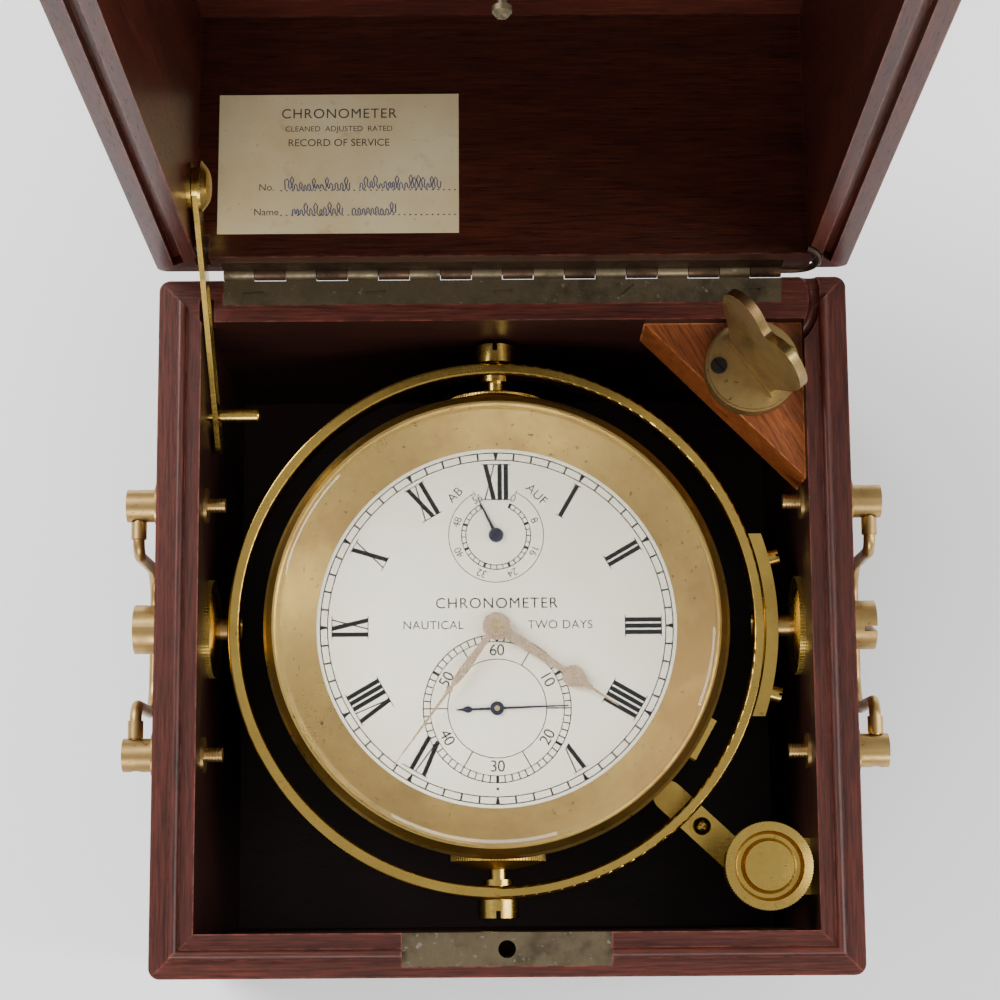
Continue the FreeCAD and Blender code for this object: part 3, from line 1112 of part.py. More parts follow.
def bail(x, middle, half, top, low, radius):
    """Handle's bent wire: out of one post, down, along the bottom, up and into the other."""
    turn, bend = 4, 9

    def bent(centre_y, centre_z, size_of, first, last):
        """Points at the start, middle and end of a quarter circle, from its angles in degrees."""
        angles = (first, (first + last) / 2, last)
        turns = [math.radians(angle) for angle in angles]
        return [Vector(x, centre_y + size_of * math.cos(turn), centre_z + size_of * math.sin(turn))
                for turn in turns]

    arm = half - 13.5
    near = [
        bent(middle - arm - turn, top - turn, turn, 90, 0),
        bent(middle - arm + bend, low + bend, bend, 180, 270),
    ]
    far = [[Vector(x, 2 * middle - point.y, point.z) for point in reversed(arc)] for arc in reversed(near)]
    edges = []
    last = Vector(x, middle - half - 4.2, top)
    for arc in near + far:
        edges.append(Part.makeLine(last, arc[0]))
        edges.append(Part.Arc(*arc).toShape())
        last = arc[-1]
    edges.append(Part.makeLine(last, Vector(x, middle + half + 4.2, top)))
    section = Part.Wire(Part.Circle(Vector(x, middle - half - 4.2, top), Vector(0, 1, 0), radius).toShape())
    whole = Part.Wire(edges).makePipeShell([section], True, True)
    for end in (-1, 1):
        start = Vector(x, middle + end * (half - size("post_turn") - 0.1), top)
        whole = whole.fuse(Part.makeCylinder(radius + 0.5, 4.6, start, Vector(0, -end, 0)))
    return whole.removeSplitter()


def finish():
    """Checks every object and writes one file for each sub-part."""
    doc.recompute()
    broken = [item.Label for item in doc.Objects if "Invalid" in item.State or "Error" in item.State]
    if broken:
        raise RuntimeError(f"not built: {broken}")
    for label, obj in pieces.items():
        if obj.Shape.isNull() or not obj.Shape.isValid() or not obj.Shape.Solids:
            raise RuntimeError(f"{label} is not a valid solid")
    os.makedirs("parts", exist_ok=True)
    for label, obj in pieces.items():
        obj.Shape.exportStep(f"parts/{label}.step")
        print(f"{label:18s} {len(obj.Shape.Solids)} solids {obj.Shape.Volume:10.1f} mm3", obj.Shape.BoundBox)


fill_sheet()
make_case()
make_lid()
make_hinge()
make_lock()
make_stay()
make_gimbal()
make_bowl()
make_plates()
make_train()
make_balance()
make_hands()
make_key()
make_gimbal_lock()
make_handles()
finish()
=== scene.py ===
import json
import math
import random

import bpy
from mathutils import Matrix, Vector


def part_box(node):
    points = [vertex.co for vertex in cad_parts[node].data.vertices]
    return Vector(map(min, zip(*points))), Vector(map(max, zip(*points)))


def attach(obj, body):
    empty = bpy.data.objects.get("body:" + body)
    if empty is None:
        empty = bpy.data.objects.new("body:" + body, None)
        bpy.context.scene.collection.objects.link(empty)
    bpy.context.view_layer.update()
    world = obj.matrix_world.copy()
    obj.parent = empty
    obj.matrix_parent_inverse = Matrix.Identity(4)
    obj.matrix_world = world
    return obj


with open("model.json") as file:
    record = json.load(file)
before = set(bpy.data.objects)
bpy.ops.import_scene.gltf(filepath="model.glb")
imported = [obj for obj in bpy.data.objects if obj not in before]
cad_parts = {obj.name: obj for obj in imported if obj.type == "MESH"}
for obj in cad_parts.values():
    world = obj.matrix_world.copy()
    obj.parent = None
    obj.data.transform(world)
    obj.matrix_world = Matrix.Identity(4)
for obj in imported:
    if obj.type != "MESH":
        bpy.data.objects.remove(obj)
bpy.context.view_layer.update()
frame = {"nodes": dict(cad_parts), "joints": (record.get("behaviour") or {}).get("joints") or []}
bpy.ops.object.select_all(action="DESELECT")

MM = 0.001
NODES = frame["nodes"]
JOINTS = {joint["name"]: joint for joint in frame["joints"]}
LID_TURN = math.radians(JOINTS["lid_hinge"]["range_deg"][1])

# Gimbal centre, and the dial's face over it.
GIMBAL = Vector(JOINTS["ring_tilt"]["pos_m"])
DIAL_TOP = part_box("dial")[1].z
RIM_TOP = 0.120
INNER_WALL = 0.0815


# --- Shader helpers --------------------------------------------------------------------------


def feed(tree, node, inputs):
    """Links or sets a node's inputs by name or number."""
    for name, value in (inputs or {}).items():
        socket = node.inputs[name]
        if isinstance(value, bpy.types.NodeSocket):
            tree.links.new(value, socket)
        else:
            socket.default_value = value
    return node


def add(tree, kind, inputs=None, **settings):
    """Adds a node, sets its options and feeds its inputs."""
    made = tree.nodes.new("ShaderNode" + kind)
    for name, value in settings.items():
        setattr(made, name, value)
    return feed(tree, made, inputs)


def effect(name, inputs, outputs):
    """Empty node group with named sockets; returns its tree, input node and output node."""
    tree = bpy.data.node_groups.new(name, "ShaderNodeTree")
    for title, kind, value in inputs:
        socket = tree.interface.new_socket(title, in_out="INPUT", socket_type="NodeSocket" + kind)
        if value is not None:
            socket.default_value = value
    for title, kind in outputs:
        tree.interface.new_socket(title, in_out="OUTPUT", socket_type="NodeSocket" + kind)
    return tree, tree.nodes.new("NodeGroupInput"), tree.nodes.new("NodeGroupOutput")


def place_effect(tree, group, inputs=None):
    """Adds a shared effect to a material and feeds it."""
    return add(tree, "Group", inputs, node_tree=group)


def ramp(tree, factor, stops):
    """Color ramp from (place, grey or colour) stops."""
    made = add(tree, "ValToRGB", {0: factor})
    elements = made.color_ramp.elements
    while len(elements) < len(stops):
        elements.new(0.5)
    for element, (place, tone) in zip(elements, stops):
        element.position = place
        element.color = (tone, tone, tone, 1) if isinstance(tone, (int, float)) else (*tone, 1)
    return made.outputs[0]


def mix(tree, factor, low, high, blend="MIX"):
    made = tree.nodes.new("ShaderNodeMix")
    made.data_type = "RGBA"
    made.blend_type = blend
    for socket, value in ((made.inputs[0], factor), (made.inputs[6], low), (made.inputs[7], high)):
        if isinstance(value, bpy.types.NodeSocket):
            tree.links.new(value, socket)
        elif isinstance(value, (int, float)):
            socket.default_value = value
        else:
            socket.default_value = (*value[:3], 1)
    return made.outputs[2]


def sum_of(tree, operation, first, second):
    return add(tree, "Math", {0: first, 1: second}, operation=operation).outputs[0]


def noise(tree, vector, scale, detail=3, roughness=0.55, distortion=0.0):
    made = add(tree, "TexNoise", {
        "Vector": vector, "Scale": scale, "Detail": detail,
        "Roughness": roughness, "Distortion": distortion,
    })
    return made.outputs["Fac"]


def stretched(tree, vector, scale):
    return add(tree, "VectorMath", {0: vector, 1: scale}, operation="MULTIPLY").outputs[0]


# --- Shared effects --------------------------------------------------------------------------


def make_grain_effect():
    """Mahogany running along X: slow figure, fine fibres and short open pores."""
    tree, given, result = effect("wood_grain", [
        ("Vector", "Vector", None),
        ("Dark", "Color", (0.03, 0.01, 0.008, 1)),
        ("Middle", "Color", (0.1, 0.03, 0.02, 1)),
        ("Light", "Color", (0.2, 0.06, 0.03, 1)),
        ("Pore Depth", "Float", 0.6),
        ("Gloss", "Float", 0.35),
    ], [("Color", "Color"), ("Roughness", "Float"), ("Height", "Float")])
    vector = given.outputs["Vector"]
    figure = noise(tree, stretched(tree, vector, (7, 55, 55)), 1, 5, 0.6, 0.8)
    fibres = noise(tree, stretched(tree, vector, (70, 1500, 1500)), 1, 4, 0.7)
    pores = noise(tree, stretched(tree, vector, (260, 3600, 3600)), 1, 2, 0.5)
    pore_mask = ramp(tree, pores, [(0.60, 0.0), (0.68, 1.0)])
    base = mix(tree, ramp(tree, figure, [(0.32, 0.0), (0.68, 1.0)]),
               given.outputs["Middle"], given.outputs["Light"])
    base = mix(tree, ramp(tree, fibres, [(0.35, 0.75), (0.62, 0.0)]), base, given.outputs["Dark"])
    pore_share = sum_of(tree, "MULTIPLY", pore_mask, given.outputs["Pore Depth"])
    base = mix(tree, pore_share, base, given.outputs["Dark"])
    tree.links.new(base, result.inputs["Color"])
    rough = sum_of(tree, "MULTIPLY_ADD", fibres, 0.16)
    rough.node.inputs[2].default_value = -0.08
    rough = sum_of(tree, "ADD", rough, given.outputs["Gloss"])
    rough = sum_of(tree, "ADD", rough, sum_of(tree, "MULTIPLY", pore_mask, 0.12))
    tree.links.new(rough, result.inputs["Roughness"])
    height = sum_of(tree, "SUBTRACT", sum_of(tree, "MULTIPLY", fibres, 0.35), pore_share)
    tree.links.new(height, result.inputs["Height"])
    return tree


def make_edge_effect():
    """Mask of handled edges, broken up by dents."""
    tree, given, result = effect("edge_wear", [
        ("Vector", "Vector", None), ("Width", "Float", 0.0008), ("Breakup", "Float", 180.0),
    ], [("Mask", "Float")])
    rounded = add(tree, "Bevel", {"Radius": given.outputs["Width"]}, samples=4)
    flat = add(tree, "NewGeometry")
    turn = add(tree, "VectorMath", {0: rounded.outputs[0], 1: flat.outputs["Normal"]},
               operation="DOT_PRODUCT").outputs["Value"]
    edge = ramp(tree, turn, [(0.80, 1.0), (0.985, 0.0)])
    chips = noise(tree, given.outputs["Vector"], 1, 4, 0.6)
    tree.links.new(given.outputs["Breakup"], chips.node.inputs["Scale"])
    mask = sum_of(tree, "MULTIPLY", edge, ramp(tree, chips, [(0.42, 0.1), (0.58, 1.0)]))
    tree.links.new(mask, result.inputs["Mask"])
    return tree


def make_tarnish_effect():
    """Lacquered metal gone patchy: cloudy tarnish, small spots and hairline scratches."""
    tree, given, result = effect("tarnish", [
        ("Vector", "Vector", None),
        ("Clean", "Color", (0.7, 0.5, 0.2, 1)),
        ("Dull", "Color", (0.35, 0.22, 0.08, 1)),
        ("Spot", "Color", (0.1, 0.06, 0.03, 1)),
        ("Amount", "Float", 0.4),
        ("Cloud Scale", "Float", 55.0),
        ("Polish", "Float", 0.22),
    ], [("Color", "Color"), ("Roughness", "Float"), ("Height", "Float")])
    vector = given.outputs["Vector"]
    cloud = noise(tree, vector, 1, 6, 0.62)
    tree.links.new(given.outputs["Cloud Scale"], cloud.node.inputs["Scale"])
    cloud_mask = ramp(tree, cloud, [(0.36, 0.0), (0.66, 1.0)])
    cloud_share = sum_of(tree, "MULTIPLY", cloud_mask, given.outputs["Amount"])
    base = mix(tree, cloud_share, given.outputs["Clean"], given.outputs["Dull"])
    specks = noise(tree, vector, 620, 2, 0.5)
    speck_mask = ramp(tree, specks, [(0.66, 0.0), (0.74, 1.0)])
    speck_share = sum_of(tree, "MULTIPLY", speck_mask, given.outputs["Amount"])
    base = mix(tree, speck_share, base, given.outputs["Spot"])
    tree.links.new(base, result.inputs["Color"])
    first = noise(tree, stretched(tree, vector, (3500, 260, 260)), 1, 2)
    second = noise(tree, stretched(tree, vector, (300, 3200, 900)), 1, 2)
    hairs = sum_of(tree, "MULTIPLY", first, second)
    rough = sum_of(tree, "ADD", given.outputs["Polish"], sum_of(tree, "MULTIPLY", cloud_share, 0.28))
    rough = sum_of(tree, "ADD", rough, sum_of(tree, "MULTIPLY", hairs, 0.3))
    rough = sum_of(tree, "SUBTRACT", rough, 0.06)
    tree.links.new(rough, result.inputs["Roughness"])
    height = sum_of(tree, "ADD", sum_of(tree, "MULTIPLY", hairs, 0.5), sum_of(tree, "MULTIPLY", cloud, 0.3))
    height = sum_of(tree, "SUBTRACT", height, sum_of(tree, "MULTIPLY", speck_share, 0.5))
    tree.links.new(height, result.inputs["Height"])
    return tree


def make_lathe_effect():
    """Fine rings left by a lathe tool, round the Z axis of the vector."""
    tree, given, result = effect("lathe_rings", [
        ("Vector", "Vector", None), ("Pitch", "Float", 5200.0),
    ], [("Height", "Float")])
    flat = add(tree, "VectorMath", {0: given.outputs["Vector"], 1: (1, 1, 0)}, operation="MULTIPLY")
    reach = add(tree, "VectorMath", {0: flat.outputs[0]}, operation="LENGTH").outputs["Value"]
    rings = add(tree, "TexNoise", {"Detail": 3.0, "Roughness": 0.7, "Scale": 1.0},
                noise_dimensions="1D")
    tree.links.new(sum_of(tree, "MULTIPLY", reach, given.outputs["Pitch"]), rings.inputs["W"])
    tree.links.new(rings.outputs["Fac"], result.inputs["Height"])
    return tree


def make_mottle_effect():
    """Ageing of a pale surface: slow yellowing, grey clouds and rust-brown foxing."""
    tree, given, result = effect("mottle", [
        ("Vector", "Vector", None),
        ("Ground", "Color", (0.8, 0.75, 0.65, 1)),
        ("Aged", "Color", (0.7, 0.6, 0.4, 1)),
        ("Foxing", "Color", (0.35, 0.18, 0.07, 1)),
        ("Age", "Float", 0.5),
        ("Spots", "Float", 0.5),
        ("Spot Scale", "Float", 160.0),
    ], [("Color", "Color"), ("Height", "Float")])
    vector = given.outputs["Vector"]
    clouds = noise(tree, vector, 38, 5, 0.6)
    share = sum_of(tree, "MULTIPLY", ramp(tree, clouds, [(0.35, 0.0), (0.7, 1.0)]), given.outputs["Age"])
    base = mix(tree, share, given.outputs["Ground"], given.outputs["Aged"])
    spots = noise(tree, vector, 1, 5, 0.62)
    tree.links.new(given.outputs["Spot Scale"], spots.node.inputs["Scale"])
    dots = noise(tree, vector, 900, 2, 0.5)
    spot_mask = sum_of(tree, "MAXIMUM", ramp(tree, spots, [(0.60, 0.0), (0.78, 1.0)]),
                       ramp(tree, dots, [(0.70, 0.0), (0.76, 0.8)]))
    spot_share = sum_of(tree, "MULTIPLY", spot_mask, given.outputs["Spots"])
    base = mix(tree, spot_share, base, given.outputs["Foxing"])
    tree.links.new(base, result.inputs["Color"])
    tree.links.new(noise(tree, vector, 2600, 3, 0.6), result.inputs["Height"])
    return tree


def make_painted_shade_effect():
    """Painted shade: mask of the case's inside, below the rim and within its boards, where the wood is
    darkened to stand in for the shadow there.
    """
    tree, given, result = effect("painted_well_shade", [("Vector", "Vector", None)], [("Mask", "Float")])
    axes = add(tree, "SeparateXYZ", {0: given.outputs["Vector"]})
    across = [add(tree, "Math", {0: axes.outputs[axis]}, operation="ABSOLUTE").outputs[0] for axis in "XY"]
    inside = sum_of(tree, "LESS_THAN", sum_of(tree, "MAXIMUM", *across), INNER_WALL + 0.0002)
    below = sum_of(tree, "LESS_THAN", axes.outputs["Z"], RIM_TOP - 0.0003)
    tree.links.new(sum_of(tree, "MULTIPLY", inside, below), result.inputs["Mask"])
    return tree


GRAIN = make_grain_effect()
# Painted shade mask for the inside of the case.
PAINTED_WELL_SHADE = make_painted_shade_effect()
EDGES = make_edge_effect()
TARNISH = make_tarnish_effect()
LATHE = make_lathe_effect()
MOTTLE = make_mottle_effect()


# --- Materials -------------------------------------------------------------------------------


def new_material(name, shift=(0, 0, 0), turn=(0, 0, 0)):
    """Material with one Principled shader; returns it, its tree, the shader and the pattern's vector."""
    material = bpy.data.materials.new(name)
    material.use_nodes = True
    tree = material.node_tree
    tree.nodes.clear()
    shader = add(tree, "BsdfPrincipled")
    add(tree, "OutputMaterial", {"Surface": shader.outputs[0]})
    coordinates = add(tree, "TexCoord")
    mapping = add(tree, "Mapping", {
        "Vector": coordinates.outputs["Object"], "Location": shift, "Rotation": turn,
    })
    return material, tree, shader, mapping.outputs[0]


def bump(tree, shader, height, strength, distance=0.0001):
    made = add(tree, "Bump", {"Height": height, "Strength": strength, "Distance": distance})
    tree.links.new(made.outputs[0], shader.inputs["Normal"])


def mahogany(name, dark, middle, light, gloss, shift=(0, 0, 0), turn=(0, 0, 0), pores=0.6, coat=0.12,
             painted_shade=False):
    material, tree, shader, vector = new_material(name, shift, turn)
    grain = place_effect(tree, GRAIN, {
        "Vector": vector, "Dark": (*dark, 1), "Middle": (*middle, 1), "Light": (*light, 1),
        "Gloss": gloss, "Pore Depth": pores,
    })
    worn = place_effect(tree, EDGES, {"Vector": vector, "Width": 0.0009, "Breakup": 240.0})
    pale = tuple(min(1, value * 1.7 + 0.02) for value in light)
    color = mix(tree, worn.outputs[0], grain.outputs["Color"], pale)
    # Painted shade: inside the case, below the rim, the wood colour is mixed 72% towards near-black brown
    # for the shadow there.
    if painted_shade:
        inside = place_effect(tree, PAINTED_WELL_SHADE, {"Vector": add(tree, "TexCoord").outputs["Object"]})
        color = mix(tree, inside.outputs[0], color, mix(tree, 0.72, color, (0.011, 0.0045, 0.0035)))
    tree.links.new(color, shader.inputs["Base Color"])
    tree.links.new(grain.outputs["Roughness"], shader.inputs["Roughness"])
    shader.inputs["Coat Weight"].default_value = coat
    shader.inputs["Coat Roughness"].default_value = 0.22
    shader.inputs["Specular IOR Level"].default_value = 0.25
    bump(tree, shader, grain.outputs["Height"], 0.35)
    return material


def brass(name, clean, dull, amount, polish, cloud=55.0, shift=(0, 0, 0), lathe=None,
          spot=(0.09, 0.05, 0.025)):
    material, tree, shader, vector = new_material(name, shift)
    skin = place_effect(tree, TARNISH, {
        "Vector": vector, "Clean": (*clean, 1), "Dull": (*dull, 1), "Spot": (*spot, 1),
        "Amount": amount, "Polish": polish, "Cloud Scale": cloud,
    })
    tree.links.new(skin.outputs["Color"], shader.inputs["Base Color"])
    tree.links.new(skin.outputs["Roughness"], shader.inputs["Roughness"])
    shader.inputs["Metallic"].default_value = 1
    height = skin.outputs["Height"]
    if lathe:
        rings = place_effect(tree, LATHE, {"Vector": vector, "Pitch": lathe})
        height = sum_of(tree, "ADD", sum_of(tree, "MULTIPLY", height, 0.4), rings.outputs[0])
    bump(tree, shader, height, 0.25, 0.00005)
    return material


def pale_sheet(name, ground, aged, foxing, age, spots, roughness, spot_scale=160.0, metal=0.0):
    material, tree, shader, vector = new_material(name)
    skin = place_effect(tree, MOTTLE, {
        "Vector": vector, "Ground": (*ground, 1), "Aged": (*aged, 1), "Foxing": (*foxing, 1),
        "Age": age, "Spots": spots, "Spot Scale": spot_scale,
    })
    tree.links.new(skin.outputs["Color"], shader.inputs["Base Color"])
    shader.inputs["Roughness"].default_value = roughness
    shader.inputs["Metallic"].default_value = metal
    bump(tree, shader, skin.outputs["Height"], 0.15, 0.00003)
    return material


def ink(name, tone, roughness=0.5):
    """Printing ink, a little thin in places."""
    material, tree, shader, vector = new_material(name)
    faded = tuple(value * 2 + 0.01 for value in tone)
    thin = ramp(tree, noise(tree, vector, 1500, 3), [(0.35, tone), (0.75, faded)])
    tree.links.new(thin, shader.inputs["Base Color"])
    shader.inputs["Roughness"].default_value = roughness
    return material


def crystal_glass():
    """Clear glass that lets the lamps through to the dial."""
    material = bpy.data.materials.new("bezel_glass")
    material.use_nodes = True
    tree = material.node_tree
    tree.nodes.clear()
    shader = add(tree, "BsdfPrincipled", {
        "Base Color": (0.97, 0.985, 0.97, 1), "Roughness": 0.0, "IOR": 1.47, "Transmission Weight": 1.0,
    })
    coordinates = add(tree, "TexCoord").outputs["Object"]
    smears = ramp(tree, noise(tree, coordinates, 45, 4), [(0.4, 0.0), (0.8, 0.03)])
    tree.links.new(smears, shader.inputs["Roughness"])
    clear = add(tree, "BsdfTransparent", {"Color": (0.96, 0.97, 0.96, 1)})
    path = add(tree, "LightPath")
    choice = add(tree, "MixShader", {
        0: path.outputs["Is Shadow Ray"], 1: shader.outputs[0], 2: clear.outputs[0],
    })
    add(tree, "OutputMaterial", {"Surface": choice.outputs[0]})
    return material


CLEAN = (0.62, 0.42, 0.10)
DULL = (0.22, 0.125, 0.03)
RIM = dict(dark=(0.008, 0.0025, 0.002), middle=(0.052, 0.010, 0.006), light=(0.098, 0.020, 0.011))
PANEL = dict(dark=(0.007, 0.002, 0.002), middle=(0.036, 0.008, 0.004), light=(0.07, 0.016, 0.007))
BLOCK = dict(dark=(0.05, 0.012, 0.004), middle=(0.22, 0.055, 0.012), light=(0.36, 0.105, 0.027))
SIDEWAYS = (0, 0, math.radians(-90))
LID_ACROSS = (LID_TURN, 0, 0)
LID_SIDE = (LID_TURN, 0, math.radians(-90))

LOOKS = {
    "front_board": mahogany("mahogany_front", gloss=0.42, painted_shade=True, shift=(0.3, 0, 0), **RIM),
    "back_board": mahogany("mahogany_back", gloss=0.42, painted_shade=True, shift=(0.9, 0.2, 0), **RIM),
    "left_board": mahogany("mahogany_left", gloss=0.42, painted_shade=True, shift=(0.1, 0.5, 0),
                           turn=SIDEWAYS, **RIM),
    "right_board": mahogany("mahogany_right", gloss=0.42, painted_shade=True, shift=(0.7, 0.4, 0.1),
                            turn=SIDEWAYS, **RIM),
    "floor_board": mahogany("mahogany_floor", gloss=0.5, shift=(0.2, 0.1, 0.3), painted_shade=True, **RIM),
    "lid_panel": mahogany("mahogany_lid_panel", gloss=0.30, shift=(0.5, 0.1, 0.2), turn=LID_ACROSS,
                          coat=0.5, **PANEL),
    "lid_across": mahogany("mahogany_lid_across", gloss=0.36, shift=(0.2, 0.6, 0.1), turn=LID_ACROSS, **RIM),
    "lid_side": mahogany("mahogany_lid_side", gloss=0.36, shift=(0.4, 0.3, 0.6), turn=LID_SIDE, **RIM),
    "corner_block": mahogany("mahogany_corner_block", gloss=0.45, shift=(0.1, 0.1, 0.1),
                             turn=(0, 0, math.radians(60)), pores=0.9, coat=0.1, **BLOCK),
    "lacquered": brass("lacquered_brass", CLEAN, DULL, 0.4, 0.15),
    "turned": brass("turned_brass", CLEAN, DULL, 0.4, 0.24, shift=-GIMBAL, lathe=5200.0),
    "bezel": brass("bezel_brass", (0.50, 0.345, 0.10), (0.22, 0.12, 0.032), 0.85, 0.28, 28.0,
                   shift=-GIMBAL, lathe=5200.0),
    "handled": brass("handled_brass", (0.50, 0.33, 0.12), (0.22, 0.135, 0.055), 0.7, 0.28, 80.0),
    "tarnished": brass("tarnished_brass", (0.16, 0.125, 0.075), (0.055, 0.042, 0.027), 0.9, 0.4, 120.0,
                       spot=(0.20, 0.18, 0.14)),
    # Painted shade: the lid's hinge leaf and pin get a much darker copy of the hinge brass, standing in for
    # the shadow above the knuckles.
    "shaded_lid_hinge": brass("lid_hinge_brass_painted_shade", (0.085, 0.05, 0.03), (0.03, 0.02, 0.014), 0.9, 0.4, 120.0),
    "key": brass("key_brass", (0.46, 0.34, 0.13), (0.22, 0.125, 0.06), 0.9, 0.28, 75.0),
    "dark_steel": brass("dark_steel", (0.05, 0.045, 0.045), (0.02, 0.018, 0.018), 0.7, 0.35, 300.0),
    "movement": brass("movement_brass", (0.80, 0.60, 0.28), (0.62, 0.44, 0.18), 0.4, 0.22, 90.0),
    "steel": brass("polished_steel", (0.42, 0.42, 0.44), (0.20, 0.18, 0.17), 0.6, 0.24, 300.0),
    "blued": brass("blued_steel", (0.03, 0.028, 0.07), (0.012, 0.011, 0.03), 0.4, 0.22, 400.0,
                   spot=(0.03, 0.02, 0.02)),
    "rose_gold": brass("rose_gold", (0.86, 0.62, 0.42), (0.66, 0.43, 0.26), 0.3, 0.22, 350.0,
                       spot=(0.3, 0.15, 0.1)),
    "silvered": pale_sheet("silvered_dial", (0.68, 0.63, 0.52), (0.62, 0.55, 0.41), (0.36, 0.26, 0.15),
                           0.5, 0.12, 0.42),
    "paper": pale_sheet("aged_paper", (0.60, 0.50, 0.30), (0.50, 0.37, 0.18), (0.26, 0.11, 0.035),
                        0.8, 0.55, 0.85, 120.0),
    "glass": crystal_glass(),
}
DIAL_INK = ink("dial_ink", (0.012, 0.011, 0.014))
LABEL_INK = ink("label_ink", (0.03, 0.026, 0.024), 0.8)
PEN_INK = ink("pen_ink", (0.045, 0.05, 0.11), 0.7)

LOOK_OF = {
    "front_board": ["box_front"],
    "back_board": ["box_back"],
    "left_board": ["box_left"],
    "right_board": ["box_right"],
    "floor_board": ["box_bottom"],
    "lid_panel": ["lid_back"],
    "lid_across": ["lid_front", "lid_top"],
    "lid_side": ["lid_left", "lid_right"],
    "corner_block": ["corner_block"],
    "lacquered": ["stay_pin", "stay_stud", "stay_arm", "gimbal_ring", "pivot_block", "ring_screws",
                  "gimbal_flanges", "lock_knob", "lock_arm", "lock_bracket"],
    "turned": ["bowl_shell", "bowl_flanges"],
    "bezel": ["bezel"],
    "handled": ["handle_posts", "bail_left", "bail_right", "gimbal_trunnions"],
    "tarnished": ["hinge_leaf_box", "case_screws", "lock_case",
                  "lock_bolt", "escutcheon", "lid_catch"],
    # Painted shade: darker brass on the lid's side of the hinge, for the shadow above the knuckles.
    "shaded_lid_hinge": ["hinge_leaf_lid", "hinge_pin"],
    "key": ["key_socket", "key_bow"],
    "movement": ["pillar_plate", "back_plate", "mainspring_barrel", "balance_cock", "fusee",
                 "centre_wheel", "third_wheel", "fourth_wheel", "escape_wheel", "balance_wheel",
                 "hour_wheel", "minute_wheel"],
    "steel": ["balance_spring", "detent"],
    "dark_steel": ["key_screw"],
    "blued": ["seconds_hand", "up_down_hand"],
    "rose_gold": ["minute_hand", "hour_hand"],
    "silvered": ["dial"],
    "paper": ["service_label"],
    "glass": ["crystal"],
}
for look, members in LOOK_OF.items():
    for member in members:
        slots = NODES[member].data.materials
        slots.clear()
        slots.append(LOOKS[look])


# --- Piece helpers ---------------------------------------------------------------------------


def named(name):
    piece = bpy.context.object
    piece.name = name
    piece.data.name = name
    return piece


def only(piece):
    bpy.ops.object.select_all(action="DESELECT")
    piece.select_set(True)
    bpy.context.view_layer.objects.active = piece
    return piece


def joined(name, parts):
    """Several meshes made one piece."""
    bpy.ops.object.select_all(action="DESELECT")
    for part in parts:
        part.select_set(True)
    bpy.context.view_layer.objects.active = parts[0]
    bpy.ops.object.join()
    return named(name)


def settle(piece, place=None):
    """Moves a mesh to its place and applies it, so that the object stays at the origin."""
    if place is not None:
        piece.matrix_world = place @ piece.matrix_world
    only(piece)
    bpy.ops.object.transform_apply(location=True, rotation=True, scale=True)
    return piece


def dress(piece, material, body):
    piece.data.materials.clear()
    piece.data.materials.append(material)
    for face in piece.data.polygons:
        face.material_index = 0
    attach(piece, body)
    return piece


def modify(piece, kind, **settings):
    """Adds one modifier and applies it."""
    only(piece)
    modifier = piece.modifiers.new(kind.lower(), kind)
    for name, value in settings.items():
        setattr(modifier, name, value)
    bpy.ops.object.modifier_apply(modifier=modifier.name)
    return piece


# --- Dial printing ---------------------------------------------------------------------------

INK_THICK = 0.00004
PRINT_LOW = DIAL_TOP - INK_THICK / 2


def flat_shape(outline, name="shape"):
    """Thin mesh plate from an outline in millimetres."""
    curve = bpy.data.curves.new(name, "CURVE")
    curve.dimensions = "2D"
    curve.fill_mode = "BOTH"
    curve.extrude = INK_THICK / 2
    line = curve.splines.new("POLY")
    line.points.add(len(outline) - 1)
    for point, (x, y) in zip(line.points, outline):
        point.co = (x * MM, y * MM, 0, 1)
    line.use_cyclic_u = True
    piece = bpy.data.objects.new(name, curve)
    bpy.context.scene.collection.objects.link(piece)
    only(piece)
    bpy.ops.object.convert(target="MESH")
    return bpy.context.object


def stroke(start, end, wide):
    """Straight stroke between two points, with square ends along the line of writing."""
    (x0, y0), (x1, y1) = start, end
    half = wide / 2
    return [(x0 - half, y0), (x0 + half, y0), (x1 + half, y1), (x1 - half, y1)]


def serif(x, y, wide, thin):
    return [(x - wide / 2, y - thin / 2), (x + wide / 2, y - thin / 2),
            (x + wide / 2, y + thin / 2), (x - wide / 2, y + thin / 2)]


THICK, THIN, SERIF = 1.25, 0.38, 0.26
ROMAN = {"I": 1.73, "V": 3.7, "X": 3.9}


def roman_strokes(letters, high):
    """Outlines of one hour mark, upright and centred, and its low edge at 0."""
    total = sum(ROMAN[letter] for letter in letters)
    left = -total / 2
    outlines = [serif(0, edge, total + 0.8, SERIF) for edge in (SERIF / 2, high - SERIF / 2)]
    for letter in letters:
        middle = left + ROMAN[letter] / 2
        if letter == "I":
            outlines.append(stroke((middle, 0), (middle, high), THICK))
        if letter == "V":
            outlines.append(stroke((middle - 1.15, high), (middle + 0.1, 0), THICK))
            outlines.append(stroke((middle + 1.45, high), (middle + 0.25, 0), THIN))
        if letter == "X":
            outlines.append(stroke((middle - 1.2, high), (middle + 1.2, 0), THICK))
            outlines.append(stroke((middle + 1.3, high), (middle - 1.3, 0), THIN))
        left += ROMAN[letter]
    return outlines


def on_dial(angle, reach, centre=(0, 0)):
    """Place on the dial: a clock angle in degrees, a distance from a centre, and the top outwards."""
    turn = Matrix.Rotation(math.radians(-angle), 4, "Z")
    at = GIMBAL + Vector((centre[0] * MM, centre[1] * MM, 0))
    return Matrix.Translation((at.x, at.y, PRINT_LOW)) @ turn @ Matrix.Translation((0, reach * MM, 0))


